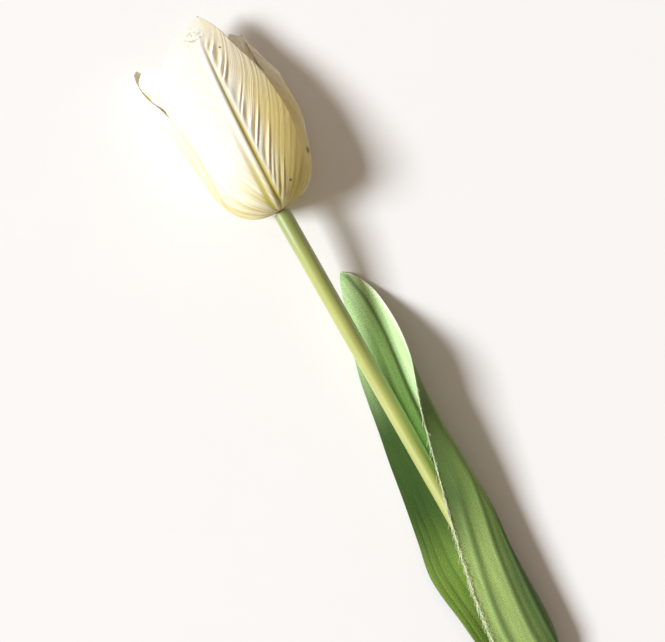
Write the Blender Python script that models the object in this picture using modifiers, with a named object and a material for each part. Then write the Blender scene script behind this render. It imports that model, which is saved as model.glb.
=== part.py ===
"""Cloth tulip with one folded leaf, lying on its side.

Y runs along the stem towards the bloom, X to the right seen from above, and Z up from the surface
that the flower lies on. The origin is on that surface, under the middle of the flower.
"""
import bmesh
import bpy
import math
from mathutils import Matrix, Vector

MM = 0.001

# Stem: a straight rod seen from above, which bends down from the bloom to the surface
STEM_RADIUS = 2.65 * MM
STEM_SIDES = 14
PEG_RADIUS = 1.6 * MM
PEG_TOP = 4.6 * MM
STEM_TOP = 0.1 * MM
SHOULDER = 0.05 * MM
CUT_CHAMFER = 0.5 * MM
STEM_ROWS = 30
# Distance back from the bloom and height of the stem's middle line, in millimetres
STEM_ROUTE = (
    (0.0, 13.0), (12.0, 12.3), (25.0, 10.4), (38.0, 8.3), (52.0, 6.4), (66.0, 5.0),
    (82.0, 4.15), (105.0, 3.8), (150.0, 3.75), (187.0, 3.75), (215.0, 3.35), (240.0, 2.85), (262.0, 2.65),
)

# Bloom: a cup of six petals round one axis, which falls slightly towards the tips
BLOOM_PITCH = math.radians(-3.0)
CLOTH = 0.7 * MM
# Radius and height of the outermost layer of the cup, in millimetres, from the peg to the rim
CUP_PROFILE = (
    (2.1, 0.8), (6.3, 1.1), (10.0, 2.5), (13.4, 5.7), (16.2, 10.9), (18.2, 18.2),
    (19.6, 27.0), (20.1, 36.3), (20.3, 44.6), (20.5, 53.0), (19.2, 65.6),
)
# The cup lies pressed flat: its height as a share of its width, and how far its middle sags below the
# axis in millimetres, by height above the stem's end
CUP_FLATNESS = (
    (0.0, 1.0), (2.5, 0.98), (5.7, 0.9), (10.9, 0.76), (18.0, 0.64), (27.0, 0.54), (36.0, 0.47),
    (45.0, 0.415), (53.0, 0.365), (66.0, 0.32),
)
CUP_SAG = (
    (0.0, 0.0), (5.7, 0.5), (10.9, 0.95), (18.0, 1.6), (27.0, 2.2), (36.0, 2.8), (45.0, 3.4),
    (53.0, 3.95), (66.0, 4.4),
)
CUP_POINTS = 160
# How far the cup stands out to the right, and falls back on the left, in millimetres by height
CUP_SWAY = (
    (0.0, 0.9), (8.0, 0.6), (18.0, 1.1), (26.0, 1.7), (35.0, 1.4), (40.0, 0.9), (46.0, -0.5),
    (52.0, -1.9), (60.0, -1.0),
)
# How far each layer of petals lies inside the outermost one
MIDDLE_LAYER = 1.3 * MM
INNER_LAYER = 3.1 * MM

# Petal creases: pressed feather pleats that climb from the midrib to the margin. A crease that leaves
# the midrib at the claw climbs over half of the petal's length, and one near the tip hardly climbs.
VEIN_CLIMB = 0.5
VEIN_CLIMB_FALL = 0.8
VEIN_BEND = 1.25
PLEAT_DEPTH = 0.3 * MM
MARGIN_PLEAT_LOSS = 0.6
MIDRIB_HEIGHT = 0.5 * MM
KEEL_HEIGHT = 0.8 * MM
# Shares of the petal's length, or of its half width, over which a relief rises or fades out
CLAW_RISE = (0.0, 0.25)
TIP_FADE = (0.86, 0.97)
RIB_FLANK = (0.0, 0.08)
RIB_TIP_FADE = (0.75, 1.0)
PLEAT_RISE = (0.0, 0.2)
SWAY_RISE = (0.0, 0.2)
OUTER_RIB_LINES = 24
OUTER_FAN_LINES = 6
INNER_RIB_LINES = 12
INNER_FAN_LINES = 4
OUTER_COLUMNS = (0.0, 0.08, 0.2, 0.4, 0.6, 0.8, 1.0)
INNER_COLUMNS = (0.0, 0.12, 0.35, 0.65, 1.0)

# Half of a petal's spread round the axis, in degrees, by share of its length
TOP_LEFT_HALF = (
    (0.0, 56.0), (0.1, 68.0), (0.2, 69.0), (0.28, 61.5), (0.38, 54.5), (0.46, 53.0), (0.55, 54.5),
    (0.7, 57.0), (0.84, 45.5), (0.93, 31.0), (0.975, 17.0), (1.0, 0.0),
)
TOP_RIGHT_HALF = (
    (0.0, 52.0), (0.12, 56.0), (0.3, 55.0), (0.45, 52.0), (0.7, 43.0), (0.86, 28.5), (0.94, 16.5), (1.0, 0.0),
)
BROAD_HALF = (
    (0.0, 56.0), (0.12, 64.0), (0.3, 64.0), (0.5, 61.0), (0.7, 57.0), (0.85, 48.0), (0.94, 34.0),
    (0.98, 20.0), (1.0, 0.0),
)
SLIM_HALF = (
    (0.0, 56.0), (0.12, 62.0), (0.3, 63.0), (0.5, 60.0), (0.7, 48.0), (0.86, 32.0), (0.95, 17.0), (1.0, 0.0),
)
INNER_HALF = ((0.0, 48.0), (0.2, 51.0), (0.5, 52.0), (0.72, 50.0), (0.87, 40.0), (0.95, 27.0), (1.0, 0.0))
# Turn of the midrib round the axis, in degrees, by share of its length
TOP_LEAN = ((0.0, 0.0), (0.46, 3.3), (0.82, 9.0), (0.93, 14.0), (1.0, 23.0))
LEFT_LEAN = ((0.0, 0.0), (0.6, 0.5), (1.0, 2.0))
RIGHT_LEAN = ((0.0, 0.0), (0.6, -1.0), (1.0, -5.0))

# Leaf: one long blade, flat under the stem on its left and rolled over the stem on its right
LEAF_CLOTH = 0.7 * MM
LEAF_ROWS = 38
LEAF_COLUMNS = 20
LEAF_PLEAT = 0.12 * MM
# Heights of the leaf's middle between which the pleats rise, as it lies flat and smooth under the stem
PLEAT_START = (LEAF_CLOTH / 2, LEAF_CLOTH / 2 + 0.15 * MM)
# Share of the rows' spacing that grows from the tip to the foot, and lengths over which pleats fade
LEAF_ROW_GROWTH = 0.25
LEAF_TIP_FADE = (2.0, 20.0)
LEAF_FOOT_FADE = (10.0, 22.0)
# Distance back from the bloom, then seven points across, each as X and height, in millimetres:
# left margin, left middle, bottom, fold, right side, crest and right margin
LEAF_SECTIONS = (
    (24.3, (6.8, 0.5), (6.8, 0.5), (6.8, 0.5), (6.8, 0.5), (6.8, 0.5), (6.8, 0.5), (6.8, 0.5)),
    (26.5, (5.5, 0.5), (6.0, 0.5), (6.8, 0.5), (7.8, 0.5), (8.5, 0.6), (9.0, 0.8), (9.5, 1.0)),
    (30.5, (4.0, 0.5), (5.0, 0.5), (6.4, 0.5), (8.6, 0.5), (9.9, 0.7), (11.0, 1.1), (12.0, 1.5)),
    (36.0, (2.2, 0.5), (4.0, 0.5), (6.2, 0.5), (9.3, 0.5), (11.2, 1.0), (12.6, 2.0), (13.7, 3.1)),
    (47.0, (-1.7, 0.5), (1.0, 0.5), (4.6, 0.5), (9.2, 0.5), (11.6, 2.0), (13.2, 4.9), (14.2, 8.0)),
    (57.0, (-4.5, 0.5), (-0.7, 0.5), (3.6, 0.35), (8.2, 0.35), (11.2, 3.5), (12.6, 8.2), (12.8, 12.8)),
    (65.0, (-6.0, 0.5), (-1.6, 0.5), (2.6, 0.35), (7.2, 0.35), (10.9, 4.5), (11.8, 10.5), (10.1, 15.0)),
    (74.0, (-7.5, 0.6), (-2.6, 0.5), (2.0, 0.35), (6.4, 0.35), (10.6, 5.2), (11.0, 11.8), (7.0, 15.4)),
    (84.0, (-9.4, 0.7), (-4.0, 0.5), (1.0, 0.35), (5.6, 0.35), (10.5, 5.0), (10.4, 12.0), (4.4, 13.8)),
    (97.0, (-11.5, 0.9), (-5.5, 0.5), (0.2, 0.35), (5.3, 0.35), (10.8, 4.9), (10.6, 10.6), (1.2, 11.4)),
    (111.0, (-14.0, 1.2), (-7.0, 0.5), (0.0, 0.35), (5.1, 0.35), (11.1, 4.6), (10.7, 9.0), (-2.3, 9.6)),
    (123.0, (-16.1, 1.8), (-7.8, 0.5), (-0.5, 0.35), (4.9, 0.35), (10.1, 4.0), (9.9, 8.2), (-4.9, 8.8)),
    (139.0, (-14.4, 3.2), (-7.4, 0.8), (-0.8, 0.35), (4.8, 0.35), (9.9, 4.0), (9.4, 7.8), (-7.9, 8.7)),
    (151.0, (-12.9, 4.6), (-7.1, 1.6), (-1.2, 0.4), (4.4, 0.6), (9.6, 3.9), (8.8, 7.6), (-8.8, 8.9)),
    (160.0, (-10.0, 5.8), (-5.9, 2.5), (-1.4, 0.4), (3.6, 0.6), (8.3, 3.7), (7.2, 7.6), (-6.5, 8.9)),
    (168.0, (-5.8, 6.8), (-4.5, 3.3), (-1.8, 0.5), (2.3, 0.6), (5.2, 3.6), (4.1, 7.3), (-3.0, 8.1)),
)
# Clasp: the leaf's foot closes round the stem, with its margins almost meeting on top
CLASP_STATIONS = (176.0, 187.0)
CLASP_RADIUS = 3.65
CLASP_ANGLES = (-150.0, -96.0, -40.0, 20.0, 80.0, 138.0, 195.0)

# Pistil and stamens, round the bloom's axis: radius and height above the stem's end, in millimetres,
# from the top down the outer side
PISTIL_PROFILE = (
    (0.0, 17.9), (1.6, 17.5), (1.9, 16.4), (1.5, 15.3), (1.7, 14.0), (2.3, 11.5), (2.4, 9.0),
    (2.25, 6.8), (2.2, 4.9), (0.0, 4.9),
)
PISTIL_STEPS = 16
STIGMA_LOBES = 3
LOBE_SIZE = (1.9 * MM, 0.75 * MM, 0.8 * MM)
LOBE_REACH = 1.5 * MM
LOBE_HEIGHT = 16.7 * MM
RING_PROFILE = ((2.65, 6.1), (3.9, 6.1), (4.3, 5.6), (4.3, 4.65), (2.65, 4.65), (2.65, 6.1))
RING_STEPS = 32
STAMEN_COUNT = 6
FILAMENT_FOOT = 3.45 * MM
FILAMENT_FOOT_HEIGHT = 5.3 * MM
FILAMENT_LENGTH = 9.0 * MM
FILAMENT_RADIUS = 0.6 * MM
FILAMENT_TAPER = 0.7
FILAMENT_LEAN = math.radians(6.0)
FILAMENT_SIDES = 6
ANTHER_LENGTH = 5.5 * MM
ANTHER_RADIUS = 1.05 * MM
ANTHER_SEAT = 0.35

# Each petal's name, direction round the axis in degrees, with 0 up and 90 to the right, how far it
# lies inside the outermost layer, its share of the cup's length, the halves of its outline on its
# left and right seen from outside with the tip up, the lean of its midrib, and outer or not
PETALS = (
    ("petal_outer_top", 0.0, 0.0, 1.0, TOP_LEFT_HALF, TOP_RIGHT_HALF, TOP_LEAN, True),
    ("petal_outer_right", 114.0, MIDDLE_LAYER, 0.87, BROAD_HALF, SLIM_HALF, RIGHT_LEAN, True),
    ("petal_outer_left", -114.0, MIDDLE_LAYER, 0.955, SLIM_HALF, BROAD_HALF, LEFT_LEAN, True),
    ("petal_inner_right", 60.0, INNER_LAYER, 0.88, INNER_HALF, INNER_HALF, RIGHT_LEAN, False),
    ("petal_inner_left", -60.0, INNER_LAYER, 0.935, INNER_HALF, INNER_HALF, LEFT_LEAN, False),
    ("petal_inner_bottom", 180.0, INNER_LAYER, 0.9, INNER_HALF, INNER_HALF, LEFT_LEAN, False),
)

PETAL_COLOUR = (0.90, 0.88, 0.74, 1.0)
STEM_COLOUR = (0.42, 0.50, 0.10, 1.0)
LEAF_COLOUR = (0.12, 0.26, 0.06, 1.0)
PISTIL_COLOUR = (0.55, 0.62, 0.22, 1.0)
STAMEN_COLOUR = (0.62, 0.45, 0.12, 1.0)
SHARP_FOLD = math.radians(40.0)
WELD = 0.01 * MM


def hermite(knots, rows, x):
    """Smooth value at x through rows of numbers placed at rising knots."""
    last = len(knots) - 1
    x = min(max(x, knots[0]), knots[-1])
    i = max(n for n in range(last) if knots[n] <= x)
    step = knots[i + 1] - knots[i]
    share = (x - knots[i]) / step

    def slope(n, column):
        before = max(n - 1, 0)
        after = min(n + 1, last)
        return (rows[after][column] - rows[before][column]) / (knots[after] - knots[before])

    value = []
    for column in range(len(rows[0])):
        start, end = rows[i][column], rows[i + 1][column]
        start_rise, end_rise = slope(i, column) * step, slope(i + 1, column) * step
        bend = 2 * (start - end) + start_rise + end_rise
        value.append(start + share * (start_rise + share * (end - start - start_rise - bend + share * bend)))
    return value


def table_value(table, x):
    """Smooth value at x from a table of (x, value) pairs."""
    return hermite([row[0] for row in table], [row[1:] for row in table], x)[0]


def evenly_spaced(points, count, fineness=12):
    """Count + 1 points at equal distances along a smooth curve through the given points."""
    knots = [0.0]
    for before, after in zip(points, points[1:]):
        knots.append(knots[-1] + max(math.dist(before, after), 1e-6))
    steps = fineness * len(points)
    dense = [hermite(knots, points, knots[-1] * n / steps) for n in range(steps + 1)]
    lengths = [0.0]
    for before, after in zip(dense, dense[1:]):
        lengths.append(lengths[-1] + max(math.dist(before, after), 1e-9))
    even = []
    for n in range(count + 1):
        goal = lengths[-1] * n / count
        i = max(k for k in range(steps) if lengths[k] <= goal)
        share = (goal - lengths[i]) / (lengths[i + 1] - lengths[i])
        even.append([a + (b - a) * share for a, b in zip(dense[i], dense[i + 1])])
    return even


def smooth_step(low, high, x):
    """Rise from 0 at low to 1 at high."""
    share = min(max((x - low) / (high - low), 0.0), 1.0)
    return share * share * (3 - 2 * share)


def make_material(name, colour, roughness):
    """Material with the piece's colour and finish."""
    material = bpy.data.materials.new(name)
    material.use_nodes = True
    shader = material.node_tree.nodes["Principled BSDF"]
    shader.inputs["Base Color"].default_value = colour
    shader.inputs["Roughness"].default_value = roughness
    shader.inputs["Metallic"].default_value = 0.0
    material.diffuse_color = colour
    return material


def make_collection(name):
    """Collection of the scene, for the parts or for pieces that are joined."""
    collection = bpy.data.collections.new(name)
    bpy.context.scene.collection.children.link(collection)
    return collection


def add_object(name, mesh, collection, material):
    """Object on a mesh, in a collection, with its material and smooth faces between its folds."""
    thing = bpy.data.objects.new(name, mesh)
    collection.objects.link(thing)
    mesh.materials.clear()
    mesh.materials.append(material)
    mesh.shade_smooth()
    mesh.set_sharp_from_angle(angle=SHARP_FOLD)
    return thing


def bloom_matrix():
    """Place of the bloom: its X up, its Y to the right and its Z along the axis to the tips."""
    rise, run = math.sin(BLOOM_PITCH), math.cos(BLOOM_PITCH)
    height = STEM_ROUTE[0][1] * MM
    rows = ((0.0, 1.0, 0.0, 0.0), (-rise, 0.0, run, 0.0), (run, 0.0, rise, height), (0.0, 0.0, 0.0, 1.0))
    return Matrix(rows)


def sheet_mesh(name, grids):
    """Open sheet of triangles from grids of points, joined where the grids meet."""
    shape = bmesh.new()
    for grid in grids:
        rows = [[shape.verts.new(point) for point in row] for row in grid]
        for low, high in zip(rows, rows[1:]):
            for i in range(len(low) - 1):
                shape.faces.new((low[i], low[i + 1], high[i + 1], high[i]))
    bmesh.ops.remove_doubles(shape, verts=shape.verts, dist=WELD)
    bmesh.ops.triangulate(shape, faces=shape.faces, quad_method="SHORT_EDGE")
    bmesh.ops.recalc_face_normals(shape, faces=shape.faces)
    mesh = bpy.data.meshes.new(name)
    shape.to_mesh(mesh)
    shape.free()
    return mesh


def thicken(sheet, thickness):
    """Give a sheet its thickness, half to each side."""
    wall = sheet.modifiers.new("thickness", "SOLIDIFY")
    wall.thickness = thickness
    wall.offset = 0.0
    return sheet


def crease_lines(fans, ribs):
    """Start on the claw, start on the midrib and end on the margin of every crease, as shares."""
    lines = [(1 - n / fans, 0.0, VEIN_CLIMB * n / fans) for n in range(fans)]
    for n in range(ribs + 1):
        start = n / ribs
        lines.append((0.0, start, min(start + VEIN_CLIMB * (1 - start) ** VEIN_CLIMB_FALL, 1.0)))
    return lines


def petal_surface(place, petal, meridian, share, angle, lift):
    """Point of a petal at a share of its length and an angle from its midrib, lifted outwards."""
    _, direction, layer, length_share, _, _, lean, is_outer = petal
    lowest = CLOTH / 2 if is_outer else CLOTH / 2 + INNER_LAYER - MIDDLE_LAYER
    at = share * length_share * (len(meridian) - 1)
    i = min(int(at), len(meridian) - 2)
    (r0, h0), (r1, h1) = meridian[i], meridian[i + 1]
    run, rise = r1 - r0, h1 - h0
    size = math.hypot(run, rise)
    radius = (r0 + run * (at - i)) * MM
    cup_height = h0 + rise * (at - i)
    height = cup_height * MM - run * (lift - layer) / size
    turn = math.radians(direction + angle + table_value(lean, share))
    side, up = math.sin(turn), math.cos(turn)
    sway = table_value(CUP_SWAY, height / MM) * MM * smooth_step(*SWAY_RISE, share)
    width = radius - layer * rise / size + sway * side
    depth = radius * table_value(CUP_FLATNESS, cup_height) - layer * rise / size
    out = lift * rise / size / math.hypot(depth * side, width * up)
    sag = table_value(CUP_SAG, cup_height) * MM
    point = place @ Vector((depth * up + out * width * up - sag, width * side + out * depth * side, height))
    point.z = max(point.z, lowest)
    return point


def petal_grids(place, petal):
    """Grids of points of one petal: lines that climb from claw and midrib out to each margin."""
    left_half, right_half, is_outer = petal[4], petal[5], petal[7]
    if is_outer:
        lines, columns = crease_lines(OUTER_FAN_LINES, OUTER_RIB_LINES), OUTER_COLUMNS
    else:
        lines, columns = crease_lines(INNER_FAN_LINES, INNER_RIB_LINES), INNER_COLUMNS
    meridian = evenly_spaced(CUP_PROFILE, CUP_POINTS)
    grids = []
    for side, half in ((-1, left_half), (1, right_half)):
        grid = []
        for n, (claw, start, end) in enumerate(lines):
            fold = PLEAT_DEPTH if n % 2 else -PLEAT_DEPTH
            row = []
            for q in columns:
                spread = claw + (1 - claw) * q
                share = start + (end - start) * q ** VEIN_BEND
                angle = side * spread * max(table_value(half, share), 0.0)
                fade = smooth_step(*CLAW_RISE, share) * (1 - smooth_step(*TIP_FADE, share))
                lift = fold * fade * smooth_step(*PLEAT_RISE, spread) * (1 - MARGIN_PLEAT_LOSS * spread ** 3)
                rib = (1 - smooth_step(*RIB_FLANK, spread)) * (1 - smooth_step(*RIB_TIP_FADE, share))
                lift += MIDRIB_HEIGHT * rib
                if is_outer:
                    lift += KEEL_HEIGHT * (1 - spread) ** 2 * fade
                row.append(petal_surface(place, petal, meridian, share, angle, lift))
            grid.append(row)
        grids.append(grid)
    return grids


def make_petals(collection):
    """Three outer and three inner petals round the peg."""
    place = bloom_matrix()
    for petal in PETALS:
        mesh = sheet_mesh(petal[0], petal_grids(place, petal))
        material = make_material(f"{petal[0]}_cloth", PETAL_COLOUR, 0.7)
        thicken(add_object(petal[0], mesh, collection, material), CLOTH)


def make_stem(collection):
    """Rod with a thin peg on its upper end that the petals sit on, and a cut lower end."""
    place = bloom_matrix()
    spine = [(place @ Vector((0.0, 0.0, height)), radius) for height, radius in (
        (PEG_TOP, PEG_RADIUS), (STEM_TOP + SHOULDER, PEG_RADIUS), (STEM_TOP, STEM_RADIUS))]
    route = evenly_spaced(STEM_ROUTE, STEM_ROWS)
    spine += [(Vector((0.0, -back * MM, height * MM)), STEM_RADIUS) for back, height in route[1:]]
    end, before = spine[-1][0], spine[-2][0]
    spine[-1] = (end - (end - before).normalized() * CUT_CHAMFER, STEM_RADIUS)
    spine.append((end, STEM_RADIUS - CUT_CHAMFER))
    curve = bpy.data.curves.new("stem", "CURVE")
    curve.dimensions = "3D"
    curve.bevel_depth = 1.0
    curve.bevel_resolution = (STEM_SIDES - 4) // 2
    curve.use_fill_caps = True
    spline = curve.splines.new("POLY")
    spline.points.add(len(spine) - 1)
    for point, (position, radius) in zip(spline.points, spine):
        point.co = (*position, 1.0)
        point.radius = radius
    thing = bpy.data.objects.new("stem", curve)
    collection.objects.link(thing)
    curve.materials.append(make_material("stem_plastic", STEM_COLOUR, 0.45))


def leaf_sections():
    """Control points across the leaf by distance back from the bloom, with the clasp at its foot."""
    middle = table_value(STEM_ROUTE, CLASP_STATIONS[0])
    ring = []
    for degrees in CLASP_ANGLES:
        angle = math.radians(degrees)
        ring.append((CLASP_RADIUS * math.sin(angle), middle - CLASP_RADIUS * math.cos(angle)))
    return LEAF_SECTIONS + tuple((station, *ring) for station in CLASP_STATIONS)


def make_leaf(collection):
    """One pleated blade, lofted through its sections from the tip to the clasp at its foot."""
    sections = leaf_sections()
    stations = [section[0] for section in sections]
    flat_rows = [[number for point in section[1:] for number in point] for section in sections]
    first, last = stations[0], stations[-1]
    grid = []
    for n in range(LEAF_ROWS + 1):
        share = n / LEAF_ROWS
        back = first + (last - first) * (LEAF_ROW_GROWTH * share ** 2 + (1 - LEAF_ROW_GROWTH) * share)
        numbers = hermite(stations, flat_rows, back)
        across = evenly_spaced(list(zip(numbers[0::2], numbers[1::2])), LEAF_COLUMNS)
        fade = smooth_step(*LEAF_TIP_FADE, back - first) * smooth_step(*LEAF_FOOT_FADE, last - back)
        row = []
        for i, (x, z) in enumerate(across):
            before, after = across[max(i - 1, 0)], across[min(i + 1, LEAF_COLUMNS)]
            run, rise = after[0] - before[0], after[1] - before[1]
            size = max(math.hypot(run, rise), 1e-6)
            fold = (LEAF_PLEAT if i % 2 else -LEAF_PLEAT) * fade * smooth_step(*PLEAT_START, z * MM)
            height = z * MM + run / size * fold
            row.append(Vector((x * MM - rise / size * fold, -back * MM, max(height, LEAF_CLOTH / 2))))
        grid.append(row)
    mesh = sheet_mesh("leaf", [grid])
    thing = add_object("leaf", mesh, collection, make_material("leaf_cloth", LEAF_COLOUR, 0.65))
    thicken(thing, LEAF_CLOTH)


def turned(name, profile, steps, collection, material, place):
    """Body turned round its own Z from an outline of radius and height, in millimetres."""
    mesh = bpy.data.meshes.new(name)
    points = [(radius * MM, 0.0, height * MM) for radius, height in profile]
    mesh.from_pydata(points, [(i, i + 1) for i in range(len(points) - 1)], [])
    thing = add_object(name, mesh, collection, material)
    screw = thing.modifiers.new("turn", "SCREW")
    screw.steps = steps
    screw.render_steps = steps
    screw.use_merge_vertices = True
    screw.merge_threshold = WELD
    thing.matrix_world = place
    return thing


def rounded_body(name, size, matrix, collection, material, segments=8, rings=6):
    """Ellipsoid with the given half sizes, at a matrix."""
    shape = bmesh.new()
    bmesh.ops.create_uvsphere(shape, u_segments=segments, v_segments=rings, radius=1.0,
                              matrix=matrix @ Matrix.Diagonal((*size, 1.0)))
    mesh = bpy.data.meshes.new(name)
    shape.to_mesh(mesh)
    shape.free()
    return add_object(name, mesh, collection, material)


def join_to(body, pieces):
    """Unite the pieces of a collection with a body in one solid, and remove them."""
    union = body.modifiers.new("union", "BOOLEAN")
    union.operation = "UNION"
    union.operand_type = "COLLECTION"
    union.collection = pieces
    united = bpy.data.meshes.new_from_object(body.evaluated_get(bpy.context.evaluated_depsgraph_get()))
    body.modifiers.clear()
    body.data = united
    for piece in list(pieces.objects):
        bpy.data.objects.remove(piece)
    bpy.data.collections.remove(pieces)


def make_pistil(collection):
    """Slim ovary with three lobes spread on its top."""
    material = make_material("pistil_plastic", PISTIL_COLOUR, 0.5)
    place = bloom_matrix()
    body = turned("pistil", PISTIL_PROFILE, PISTIL_STEPS, collection, material, place)
    lobes = make_collection("stigma_lobes")
    for n in range(STIGMA_LOBES):
        spin = Matrix.Rotation(math.tau * n / STIGMA_LOBES, 4, "Z")
        spot = Matrix.Translation((LOBE_REACH, 0.0, LOBE_HEIGHT))
        rounded_body(f"lobe_{n + 1}", LOBE_SIZE, place @ spin @ spot, lobes, material)
    join_to(body, lobes)


def make_stamens(collection):
    """Ring round the pistil's foot with six filaments, each carrying an upright anther."""
    material = make_material("stamen_plastic", STAMEN_COLOUR, 0.6)
    place = bloom_matrix()
    body = turned("stamens", RING_PROFILE, RING_STEPS, collection, material, place)
    pieces = make_collection("filaments_and_anthers")
    for n in range(STAMEN_COUNT):
        spin = Matrix.Rotation(math.tau * (n + 0.5) / STAMEN_COUNT, 4, "Z")
        foot = Matrix.Translation((FILAMENT_FOOT, 0.0, FILAMENT_FOOT_HEIGHT))
        lean = Matrix.Rotation(FILAMENT_LEAN, 4, "Y")
        base = place @ spin @ foot @ lean
        shape = bmesh.new()
        bmesh.ops.create_cone(shape, cap_ends=True, segments=FILAMENT_SIDES, radius1=FILAMENT_RADIUS,
                              radius2=FILAMENT_TAPER * FILAMENT_RADIUS, depth=FILAMENT_LENGTH,
                              matrix=base @ Matrix.Translation((0.0, 0.0, FILAMENT_LENGTH / 2)))
        mesh = bpy.data.meshes.new(f"filament_{n + 1}")
        shape.to_mesh(mesh)
        shape.free()
        add_object(f"filament_{n + 1}", mesh, pieces, material)
        top = base @ Matrix.Translation((0.0, 0.0, FILAMENT_LENGTH + ANTHER_SEAT * ANTHER_LENGTH))
        size = (ANTHER_RADIUS, ANTHER_RADIUS, ANTHER_LENGTH / 2)
        rounded_body(f"anther_{n + 1}", size, top, pieces, material)
    join_to(body, pieces)


def centre_on_origin(parts):
    """Hang every part on one empty, placed so that the middle of the flower stands over the origin."""
    bpy.context.view_layer.update()
    graph = bpy.context.evaluated_depsgraph_get()
    corners = []
    for thing in parts.objects:
        mesh = thing.evaluated_get(graph).to_mesh()
        corners += [thing.matrix_world @ vertex.co for vertex in mesh.vertices]
    middle = [(min(c[axis] for c in corners) + max(c[axis] for c in corners)) / 2 for axis in (0, 1)]
    root = bpy.data.objects.new("tulip_root", None)
    for thing in parts.objects:
        thing.parent = root
    parts.objects.link(root)
    root.location = (-middle[0], -middle[1], -min(c.z for c in corners))


def main():
    """Clear the scene and build the flower."""
    for thing in list(bpy.data.objects):
        bpy.data.objects.remove(thing)
    parts = make_collection("tulip")
    make_stem(parts)
    make_petals(parts)
    make_pistil(parts)
    make_stamens(parts)
    make_leaf(parts)
    centre_on_origin(parts)


main()
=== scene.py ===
"""Looks of a cloth tulip: petals, leaf, stem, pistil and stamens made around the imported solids.

Y runs along the stem towards the bloom, X to the right seen from above, and Z up from the surface
that the flower lies on. Tables hold millimetres, and everything else is in metres.
"""
import bmesh
import bpy
import math
import numpy as np
from collections import namedtuple
from mathutils import Matrix, Vector


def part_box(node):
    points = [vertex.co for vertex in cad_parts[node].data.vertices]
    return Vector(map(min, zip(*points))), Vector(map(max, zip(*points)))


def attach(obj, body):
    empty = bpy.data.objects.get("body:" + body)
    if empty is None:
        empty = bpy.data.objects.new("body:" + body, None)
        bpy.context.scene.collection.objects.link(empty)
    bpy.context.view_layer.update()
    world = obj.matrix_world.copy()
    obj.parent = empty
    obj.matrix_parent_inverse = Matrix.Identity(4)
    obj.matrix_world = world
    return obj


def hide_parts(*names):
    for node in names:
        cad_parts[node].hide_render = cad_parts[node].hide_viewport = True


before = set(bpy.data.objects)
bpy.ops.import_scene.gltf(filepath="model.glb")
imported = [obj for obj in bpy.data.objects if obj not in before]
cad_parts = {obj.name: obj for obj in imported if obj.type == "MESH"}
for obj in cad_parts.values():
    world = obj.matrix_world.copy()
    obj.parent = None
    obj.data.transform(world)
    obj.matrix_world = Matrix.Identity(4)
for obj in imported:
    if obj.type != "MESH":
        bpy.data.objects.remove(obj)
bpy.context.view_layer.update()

bl_info = {
    "name": "Cloth Tulip",
    "version": (1, 0, 0),
    "blender": (4, 5, 0),
    "location": "3D View > Sidebar > Tulip",
    "description": "Builds a cloth tulip with one folded leaf around its packed solids",
    "category": "Add Mesh",
}

MM = 0.001

# Stem: distance back from the bloom and height of its middle line
STEM_ROUTE = (
    (0.0, 13.0), (12.0, 12.3), (25.0, 10.4), (38.0, 8.3), (52.0, 6.4), (66.0, 5.0),
    (82.0, 4.15), (105.0, 3.8), (150.0, 3.75), (187.0, 3.75), (215.0, 3.35), (240.0, 2.85), (262.0, 2.65),
)
PEG_TOP = 4.6 * MM
PEG_RADIUS = 1.6 * MM
STEM_TOP = 0.1 * MM
SHOULDER = 0.25 * MM
CUT_CHAMFER = 0.5 * MM
STEM_ROWS = 260
STEM_SIDES = 64
# The stem is greener near the bloom, and its right side, which faces away from the window, is painted
# in that green as painted shade
GREEN_TOP_LENGTH = 26.0 * MM
GREEN_TOP = 0.75
STEM_SIDE_SHADE = 0.8
# Stretch that draws the flow lines out along the stem
FLOW_STRETCH = (1.0, 0.04, 1.0)

# The flower's own coordinates start where the stem meets the bloom. The stem's solid says where that
# is in the frame: on its middle line, its whole length ahead of its cut end.
STEM_FOOT, STEM_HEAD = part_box("stem")
BLOOM_FOOT = Vector(((STEM_FOOT.x + STEM_HEAD.x) / 2, STEM_FOOT.y + STEM_ROUTE[-1][0] * MM, 0.0))

# Bloom: a cup of six petals. Radius and height of its outermost layer, from the peg to the rim.
BLOOM_PITCH = math.radians(-3.0)
CUP_PROFILE = (
    (2.1, 0.8), (6.3, 1.1), (10.0, 2.5), (13.4, 5.7), (16.2, 10.9), (18.2, 18.2),
    (19.6, 27.0), (20.1, 36.3), (20.3, 44.6), (20.5, 53.0), (19.2, 65.6),
)
# The cup lies pressed flat: its height as a share of its width, and how far its middle sags below the
# axis, by height
CUP_FLATNESS = (
    (0.0, 1.0), (2.5, 0.98), (5.7, 0.9), (10.9, 0.76), (18.0, 0.64), (27.0, 0.54), (36.0, 0.47),
    (45.0, 0.415), (53.0, 0.365), (66.0, 0.32),
)
CUP_SAG = (
    (0.0, 0.0), (5.7, 0.5), (10.9, 0.95), (18.0, 1.6), (27.0, 2.2), (36.0, 2.8), (45.0, 3.4),
    (53.0, 3.95), (66.0, 4.4),
)
CUP_POINTS = 640
# How far the cup stands out to the right, and falls back on the left, by height
CUP_SWAY = (
    (0.0, 0.9), (8.0, 0.6), (18.0, 1.1), (26.0, 1.7), (35.0, 1.4), (40.0, 0.9), (46.0, -0.5),
    (52.0, -1.9), (60.0, -1.0),
)
# Thickness of the cloth in the solids, and how far two of the layers lie inside the outermost
SOLID_CLOTH = 0.7 * MM
MIDDLE_LAYER = 1.3 * MM
INNER_LAYER = 3.1 * MM
# Rounded ridge along the middle of an outer petal
KEEL_HEIGHT = 0.8 * MM
# Shares of the petal's length, or of its half width, over which a relief rises or fades out
CLAW_RISE = (0.0, 0.25)
TIP_FADE = (0.86, 0.97)
RIB_TIP_FADE = (0.72, 0.95)
SWAY_RISE = (0.0, 0.2)
# The middle and the inner layer lie closer together towards their tips than the solids do
TIP_CLOSING = 0.5 * MM
TIP_CLOSING_RISE = (0.7, 0.88)

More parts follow.
